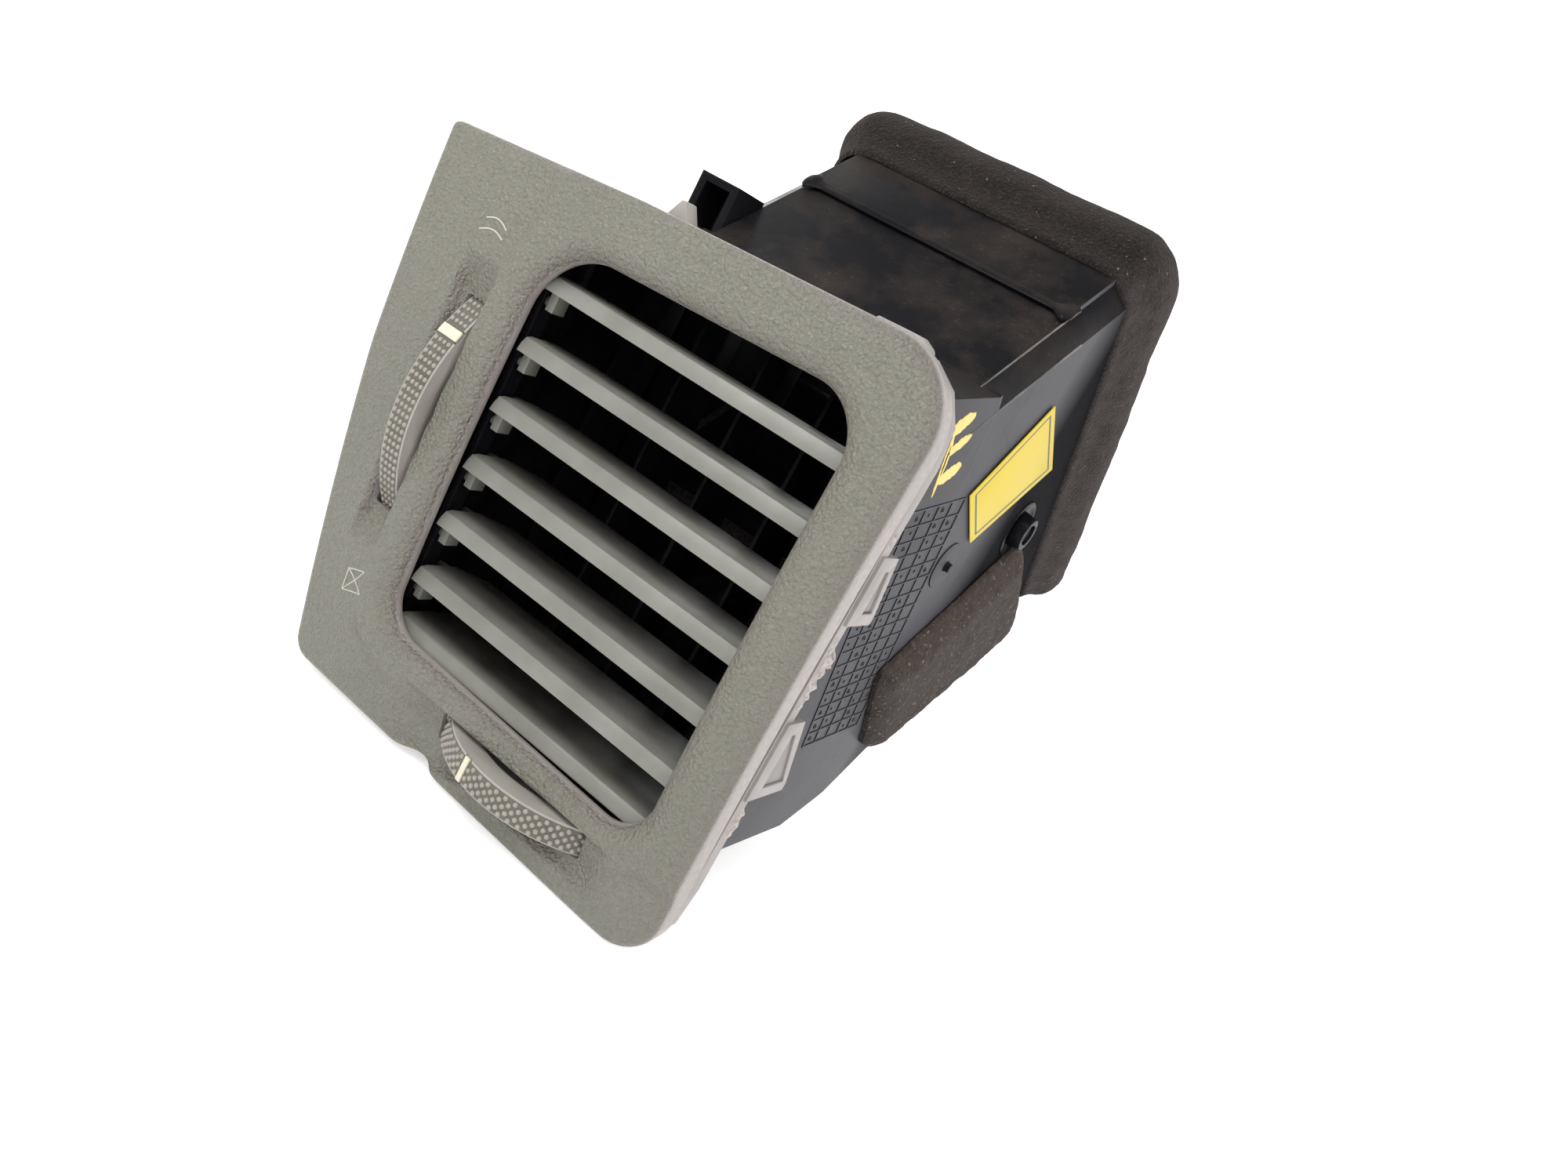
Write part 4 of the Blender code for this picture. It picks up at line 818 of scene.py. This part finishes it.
def make_pad(mat):
    """Foam strip glued to the right wall: thin at its edges, full in the middle."""
    loop = fillet_loop(PAD_OUTLINE, 8)
    closed = np.vstack([loop, loop[:1]])
    length = np.concatenate([[0], np.cumsum(np.linalg.norm(np.diff(closed, axis=0), axis=1))])
    at = np.linspace(0, length[-1], 320, endpoint=False)
    edge = np.stack([np.interp(at, length, closed[:, i]) for i in (0, 1)], 1)
    centre = edge.mean(0)
    low_x, high_x = (corner.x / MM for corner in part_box("side_foam_pad"))
    rows = []
    shares = [0.9, 1.0, 1.0] + list(1 - np.linspace(0.012, 0.995, 30) ** 1.25)
    lifts = [0.0, 0.0, 0.22]
    for i, share in enumerate(shares):
        row = []
        for k, (along, up) in enumerate(edge):
            a, u = centre + (np.array([along, up]) - centre) * share
            a += 0.35 * wobble((along, up, 0), 5.0, 9.0) * share
            u += 0.35 * wobble((along, up, 4), 5.0, 3.0) * share
            y, z = duct_point(a, u)
            if i < 3:
                x = low_x + lifts[i] * (high_x - low_x)
            else:
                inside = np.array([along, up]) * share + centre * (1 - share)
                near = np.linalg.norm(edge - inside, axis=1).min()
                full = 1 - (1 - min(near / 5.5, 1.0)) ** 2.2
                dent = 0.10 * wobble((a, u, 1), 7.0, 1.0) + 0.05 * wobble((a, u, 2), 2.0, 6.0)
                x = low_x + (0.22 + (0.70 + dent) * full) * (high_x - low_x)
            row.append((x, y, z))
        rows.append(row)
    bm = loft(rows, False, True)
    cap(bm, len(edge), last=False)
    cap(bm, len(edge))
    obj = new_object("wall_foam_strip", bm, mat, "root", 75.0)
    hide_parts("side_foam_pad")


def make_seals(mat):
    """Foam faces of the damper's plate."""
    for node in ("damper_seal_front", "damper_seal_rear"):
        obj = skin(node, mat, 0.7)


# ================ duct details ===================================================================
def grid_point(u, v):
    """Y, Z of a point of the moulded grid: u from its front to its rear, v from top to bottom."""
    top, low = ([a + (b - a) * u for a, b in zip(*GRID[edge])] for edge in ("top", "low"))
    return Vector([a + (b - a) * v for a, b in zip(top, low)])


def add_ridge(bm, a, b, width, height):
    """Low straight ridge on the right wall between two Y, Z points."""
    side = Vector((-(b - a)[1], (b - a)[0])).normalized() * width / 2
    rows = [[(SIDE_WALL + lift, *(p + side * s)) for p in (a, b)]
            for s, lift in ((-1.0, -0.1), (-0.7, height), (0.7, height), (1.0, -0.1))]
    loft(rows, False, False, bm)


def make_grid(mat):
    """Grid of cells moulded on the right wall; many hold a dot or a small ring."""
    border, inner_line, dot_steps = 0.5, 0.38, 12
    bm = bmesh.new()
    for i in range(GRID_COLUMNS + 1):
        u, width = i / GRID_COLUMNS, border if i in (0, GRID_COLUMNS) else inner_line
        add_ridge(bm, grid_point(u, 0), grid_point(u, 1), width, 0.2)
    for j in range(GRID_LINES + 1):
        v, width = j / GRID_LINES, border if j in (0, GRID_LINES) else inner_line
        add_ridge(bm, grid_point(0, v), grid_point(1, v), width, 0.19)
    for i in range(GRID_COLUMNS):
        for j in range(GRID_LINES):
            kind = rng.random()
            if kind > 0.72:
                continue
            y, z = grid_point((i + 0.35 + 0.3 * rng.random()) / GRID_COLUMNS,
                              (j + 0.4 + 0.2 * rng.random()) / GRID_LINES)
            radius = 0.34 if kind < 0.3 else 0.55
            levels = [(radius, -0.1), (radius * 0.9, 0.16), (radius * 0.55, 0.2)]
            if kind >= 0.3:
                levels += [(radius * 0.4, 0.02)]
            loft(round_rows(y, z, levels, dot_steps), False, True, bm)
            cap(bm, dot_steps)
    new_object("wall_grid", bm, mat, "root", 30.0)


def make_turned(name, y, z, levels, mat):
    """Round boss or ring on the right wall, from (radius, height over the wall) pairs."""
    steps = 48
    bm = loft(round_rows(y, z, levels, steps), False, True)
    cap(bm, steps)
    new_object(name, bm, mat, "root")


def make_roof_rib(mat):
    """Half-round rib across the roof at the step, with a knob at each end."""
    points, rows = 14, []
    for x in np.linspace(*ROOF_RIB, 60):
        knob = sum(math.exp(-((x - at) / length) ** 2) for at, length in RIB_KNOBS)
        radius = 0.62 + 0.95 * knob
        row = []
        for k in range(points):
            a = math.pi * k / (points - 1)
            y, z = duct_point(0.9 - radius * 2.3 * math.cos(a), 0.8 + (radius * 0.65) * math.sin(a))
            row.append((x, y, z))
        rows.append(row)
    bm = loft(rows, False, False)
    cap(bm, points, last=False)
    cap(bm, points)
    new_object("roof_rib", bm, mat, "root", 60.0)


def make_duct_details(black, gloss):
    make_grid(black)
    make_turned("locating_pin", 45.1, 17.8, [(5.2, -0.2), (5.0, 0.22), (4.7, 0.32), (1.2, 0.36), (1.0, 0.6),
                                             (0.95, 1.4), (0.7, 1.6), (0.05, 1.62)], black)
    make_turned("bush_recess_ring", 78.5, 27.6, [(6.9, -0.2), (6.7, 0.32), (6.3, 0.42), (5.7, 0.36),
                                                 (5.3, 0.12), (4.3, 0.1)], gloss)
    make_roof_rib(black)


def make_dusty_edge_highlights(mat):
    """Rubbed, dusty lines along the roof's right shoulder, pale enough to stand as painted highlights on
    its edges.
    """
    for index, (x, up) in enumerate(((36.0, 0.0), (40.0, -3.6))):
        rows = []
        for along in np.linspace(-SHOULDER_LENGTH, 0.0, 31):
            point = Vector((x, *duct_point(along, up)))
            swell = 0.16 + 0.07 * wobble(tuple(point), 2.0, 3.0 + index)
            rows.append([point + swell * Vector((math.cos(a), 0.6 * math.cos(a), math.sin(a)))
                         for a in np.linspace(0, 2 * math.pi, 8, endpoint=False)])
        new_object("shoulder_dust_and_highlight_%d" % (index + 1), loft(rows, False, True), mat, "root")


def make_paint(mat):
    """Dabs of paint on the right wall: generic strokes from one Y, Z point to another, with a width."""
    points = 72
    strokes = [((9.6, 41.9), (17.0, 47.0), 3.2), ((13.8, 38.6), (20.4, 43.6), 2.3),
               ((17.0, 33.9), (23.4, 38.0), 3.2), ((11.9, 43.8), (18.3, 31.0), 1.1),
               ((13.2, 41.8), (17.0, 34.2), 1.7)]
    for index, (a, b, width) in enumerate(strokes):
        a, b = Vector(a), Vector(b)
        side = Vector((-(b - a)[1], (b - a)[0])).normalized()
        rows = []
        for level, shrink in ((0.02, 1.0), (0.12, 0.9), (0.16, 0.55)):
            row = []
            for k in range(points):
                t = 2 * math.pi * k / points
                along, across = 0.5 - 0.5 * math.cos(t), 0.5 * width * math.sin(t)
                bristle = 1 + 0.28 * wobble((k * 0.9, index * 7.0, 0), 2.2, 1.0)
                across *= bristle * shrink
                along = 0.5 + (along - 0.5) * (shrink * 0.5 + 0.5) * (1 + 0.05 * wobble((k, index, 5), 1.6))
                p = a + (b - a) * along + side * across
                row.append((SIDE_WALL + level, *p))
            rows.append(row)
        bm = loft(rows, False, True)
        cap(bm, points)
        new_object("paint_dab_%d" % (index + 1), bm, mat, "root")


def make_label(yellow, ink):
    """Blank sticker with a thin border line."""
    skin("blank_label", yellow, 0.12)
    line_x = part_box("blank_label")[1].x / MM + 0.02
    corners = np.array(LABEL_CORNERS)

    def inset(by):
        """The sticker's corners moved inwards by the same distance from both sides."""
        moved = []
        for i in range(4):
            here, before, after = corners[i], corners[i - 1], corners[(i + 1) % 4]
            u = (before - here) / np.linalg.norm(before - here)
            v = (after - here) / np.linalg.norm(after - here)
            sine = abs(u[0] * v[1] - u[1] * v[0])
            moved.append(here + (u + v) * by / sine)
        return moved
    rows = [[(line_x, *p) for p in inset(by)] for by in (1.5, 2.05)]
    new_object("label_border", loft(rows, False, True), ink, "root")


# ================ mounting frame details =========================================================
def make_tab_panels(mat):
    """Greyer panels on the right flange, at its two barbed tabs."""
    outlines = [((1.4, 11.4), (5.0, 11.4), (2.3, 19.0), (1.4, 19.0)),
                ((1.4, -23.2), (8.6, -23.2), (2.3, -12.8), (1.4, -12.8))]
    for index, outline in enumerate(outlines):
        new_object("tab_panel_%d" % (index + 1), prism(outline, 43.4, 45.25, 0.25), mat, "root")


def make_catches(mat):
    """Catches that rise behind the top edge: a flat one at the right, a pointed one at the left."""
    flat = [((24.5, 50.0), 0.3), ((35.2, 50.0), 0.3), ((35.0, 52.8), 1.2), ((32.6, 53.9), 1.0),
            ((25.2, 53.6), 0.5)]
    pointed = [((-20.6, 49.5), 0.3), ((-14.6, 49.5), 0.3), ((-14.9, 51.6), 0.3), ((-17.0, 54.7), 0.3),
               ((-17.9, 54.5), 0.3)]
    for name, outline, depth in (("catch_right", flat, (-4.2, 0.8)), ("catch_left", pointed, (-3.2, 0.4))):
        bm = bmesh.new()
        ring = bm.faces.new([bm.verts.new(Vector((x, depth[0], z))) for x, z in fillet_loop(outline, 5)])
        made = bmesh.ops.extrude_face_region(bm, geom=[ring])["geom"]
        bmesh.ops.translate(bm, vec=Vector((0, depth[1] - depth[0], 0)),
                            verts=[g for g in made if isinstance(g, bmesh.types.BMVert)])
        rims = [e for e in bm.edges if abs(e.verts[0].co.y - e.verts[1].co.y) < 0.1]
        bmesh.ops.bevel(bm, geom=rims, offset=0.25, segments=2, affect="EDGES", profile=0.5)
        new_object(name, bm, mat, "root")


def make_residue(mat):
    """Lumpy strips of glue on the flange: Z from and to, Y from and to, thickness."""
    patches = [(8.8, -9.6, -2.6, 4.0, 1.3), (-25.8, -35.5, -3.0, 3.4, 1.2), (26.6, 22.4, -3.2, 2.4, 1.0)]
    steps, across = 60, 22
    for index, (top, low, y0, y1, thick) in enumerate(patches):
        rows = []
        for i in range(steps + 1):
            z = top + (low - top) * i / steps
            ends = math.sin(math.pi * i / steps) ** 0.4
            ragged = 0.62 + 0.5 * wobble((z, index * 9.0, 0), 3.4, 2.0)
            width = (y1 - y0) * ragged * (0.35 + 0.65 * ends)
            row = []
            for j in range(across + 1):
                s = j / across
                y = y0 + width * s + 0.4 * wobble((z, s * 3, 1), 1.0, 4.0)
                bulk = max(0.0, math.sin(math.pi * s)) ** 0.5 * ends
                x = FLANGE_X + thick * bulk * (0.75 + 0.75 * wobble((z, y, index * 5.0), 1.3, 8.0))
                row.append((min(x, RESIDUE_MAX_X), y, z))
            rows.append(row)
        new_object("glue_residue_%d" % (index + 1), loft(rows, False, False), mat, "root")


# ================ stage, light, camera ===========================================================
def make_stage():
    """White floor that curves up far away into a backdrop."""
    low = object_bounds()[0].z
    steps, flat, bend = 96, 3.0, 2.5          # metres: the flat part's radius, then the bend's
    profile = [(0.4, 0.0), (1.2, 0.0), (flat, 0.0)]
    profile += [(flat + bend * math.sin(a), bend * (1 - math.cos(a))) for a in np.linspace(0.12, 1.5, 10)]
    profile += [(5.6, 6.0)]
    bm = loft([[(r * math.cos(a), r * math.sin(a), low + rise)
                for a in np.linspace(0, 2 * math.pi, steps, endpoint=False)] for r, rise in profile], False)
    cap(bm, steps, last=False)
    bmesh.ops.recalc_face_normals(bm, faces=bm.faces[:])
    mesh = bpy.data.meshes.new("floor")
    bm.to_mesh(mesh)
    bm.free()
    mesh.shade_smooth()
    n = Nodes("floor_white", (0.93, 0.93, 0.93), 0.9)
    n.set("Specular IOR Level", 0.0)
    n.set("Emission Color", (1.0, 1.0, 1.0, 1.0))
    n.set("Emission Strength", 0.4)
    mesh.materials.append(n.mat)
    floor = bpy.data.objects.new("floor", mesh)
    bpy.context.scene.collection.objects.link(floor)


def add_light(name, place_at, target, size, power, color):
    """Area light; places and sizes in metres, power in watts."""
    data = bpy.data.lights.new(name, "AREA")
    data.shape = "RECTANGLE"
    data.size, data.size_y = size
    data.energy = power
    data.color = color
    light = bpy.data.objects.new(name, data)
    light.location = place_at
    light.rotation_mode = "QUATERNION"
    light.rotation_quaternion = (Vector(target) - Vector(place_at)).to_track_quat("-Z", "Y")
    bpy.context.scene.collection.objects.link(light)


def make_lights():
    """White surroundings, a soft sun from the upper left, and three area lights."""
    world = bpy.data.worlds.new("studio")
    world.use_nodes = True
    background = world.node_tree.nodes["Background"]
    background.inputs["Color"].default_value = (1.0, 1.0, 1.0, 1.0)
    background.inputs["Strength"].default_value = 0.42
    bpy.context.scene.world = world
    sun = bpy.data.lights.new("soft_sun", "SUN")
    sun.energy = 1.35
    sun.angle = math.radians(35.0)
    sun.color = (1.0, 0.99, 0.95)
    light = bpy.data.objects.new("soft_sun", sun)
    light.rotation_mode = "QUATERNION"
    light.rotation_quaternion = Vector((-0.35, 0.62, -0.75)).to_track_quat("-Z", "Y")
    bpy.context.scene.collection.objects.link(light)
    add_light("key", place_at=(-0.08, -0.20, 0.34), target=(-0.03, 0.0, 0.03), size=(0.16, 0.12),
              power=0.95, color=(0.97, 1.0, 0.97))
    add_light("glint", place_at=(-0.02, -0.40, 0.30), target=(0.02, 0.0, 0.03), size=(0.04, 0.04),
              power=0.28, color=(1.0, 1.0, 1.0))
    add_light("side", place_at=(0.85, 0.05, 0.25), target=(0.0, 0.02, 0.0), size=(0.6, 0.5),
              power=1.35, color=(1.0, 0.95, 0.96))


def make_camera():
    """Hand-held view from the front right, rolled to the left, with a phone's wide lens."""
    data = bpy.data.cameras.new("photo_view")
    data.lens = 26.88
    data.sensor_width = 36.0
    data.clip_start, data.clip_end = 0.01, 20.0
    camera = bpy.data.objects.new("photo_view", data)
    camera.location = Vector((105.867, -172.835, 54.851)) * MM
    camera.rotation_euler = [math.radians(turn) for turn in (74.128, -27.916, 30.802)]
    bpy.context.scene.collection.objects.link(camera)
    bpy.context.scene.camera = camera
    bpy.context.scene.view_settings.view_transform = "Standard"


# ================ all together ===================================================================
RIM_LOOP, EDGE_LOOP = fillet_loop(OPENING), fillet_loop(OUTLINE)

blade_front, blade_rear = (corner.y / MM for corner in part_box("louvre_3"))
sill_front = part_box("sill_blade")[0].y / MM
louvre_grey = satin_plastic("louvre_grey", (0.128, 0.126, 0.110), (0.168, 0.164, 0.147),
                            grime_and_shade_span=(blade_front + 3.5, blade_rear - 1.0))
sill_grey = satin_plastic("sill_grey", (0.11, 0.107, 0.093), (0.145, 0.141, 0.124),
                          grime_and_shade_span=(sill_front + 1.2, sill_front + 6.5))
pale = satin_plastic("frame_pale", (0.215, 0.195, 0.186), (0.275, 0.252, 0.242))
wheel_knurl = wheel_plastic("wheel_knurl")
wheel_side = satin_plastic("wheel_side", (0.24, 0.22, 0.2), (0.28, 0.26, 0.24))
# painted shade for the bands between the knurl bumps
wheel_hollow = satin_plastic("knurl_floor", (0.07, 0.062, 0.048), (0.10, 0.09, 0.072))
housing = black_plastic("housing_black", dusty=0.95, side_sheen=1.0)
trim = black_plastic("trim_black", gloss=0.22)
inner = black_plastic("inner_black", gloss=0.4)
vane_black = black_plastic("vane_black", gloss=0.35)
foam_dark = foam("foam_dark", dark=(0.009, 0.0075, 0.007), light=(0.020, 0.016, 0.0145),
                 lit=(0.055, 0.047, 0.046), edge=(0.026, 0.021, 0.019), fleck=0.71)
foam_brown = foam("foam_brown", dark=(0.014, 0.011, 0.010), light=(0.032, 0.026, 0.023),
                  lit=(0.058, 0.048, 0.046), edge=(0.10, 0.079, 0.064), fleck=0.645)
ivory = printed("mark_ivory", (0.55, 0.52, 0.41), (0.42, 0.38, 0.30))

make_bezel(grained_plastic())
make_symbols(printed("symbol_pale", (0.42, 0.41, 0.36), (0.26, 0.25, 0.21)))
make_wheels(wheel_knurl, wheel_side, wheel_hollow)
for number in range(1, 7):
    skin("louvre_%d" % number, louvre_grey, 0.35)
skin("sill_blade", sill_grey, 0.35)
for number in range(1, 6):
    skin("vane_%d" % number, vane_black, 0.15)
skin("mounting_frame", pale, 0.3)
skin("duct_housing", housing, 0.6, 25.0)
skin("damper_bush_left", inner, 0.25)
skin("damper_bush_right", trim, 0.25)
for node in ("damper_door", "damper_gear", "damper_shaft", "louvre_link_bar", "direction_link_bar",
             "vane_top_rail", "louvre_pivot_strip_left", "louvre_pivot_strip_right"):
    skin(node, inner, 0.25)
for node in ("damper_index_mark", "direction_index_mark"):
    skin(node, ivory, 0.12)
for node in ("damper_wheel_axle", "direction_wheel_axle"):
    skin(node, steel("axle_steel"), 0.25)
make_gasket(foam_dark)
make_pad(foam_brown)
make_seals(foam_dark)
make_duct_details(housing, trim)
make_dusty_edge_highlights(satin_plastic("edge_dust_and_highlight", (0.06, 0.056, 0.053), (0.15, 0.14, 0.13)))
make_paint(printed("paint_yellow", (0.78, 0.56, 0.16), (0.12, 0.09, 0.04), 0.5))
make_label(printed("label_yellow", (0.58, 0.44, 0.016), (0.46, 0.34, 0.03), 0.45),
           printed("label_ink", (0.05, 0.045, 0.01), (0.3, 0.25, 0.02), 0.4))
make_tab_panels(satin_plastic("panel_grey", (0.15, 0.14, 0.135), (0.19, 0.178, 0.172)))
make_catches(pale)
make_residue(residue_plaster("glue_residue"))

make_stage()
make_lights()
make_camera()
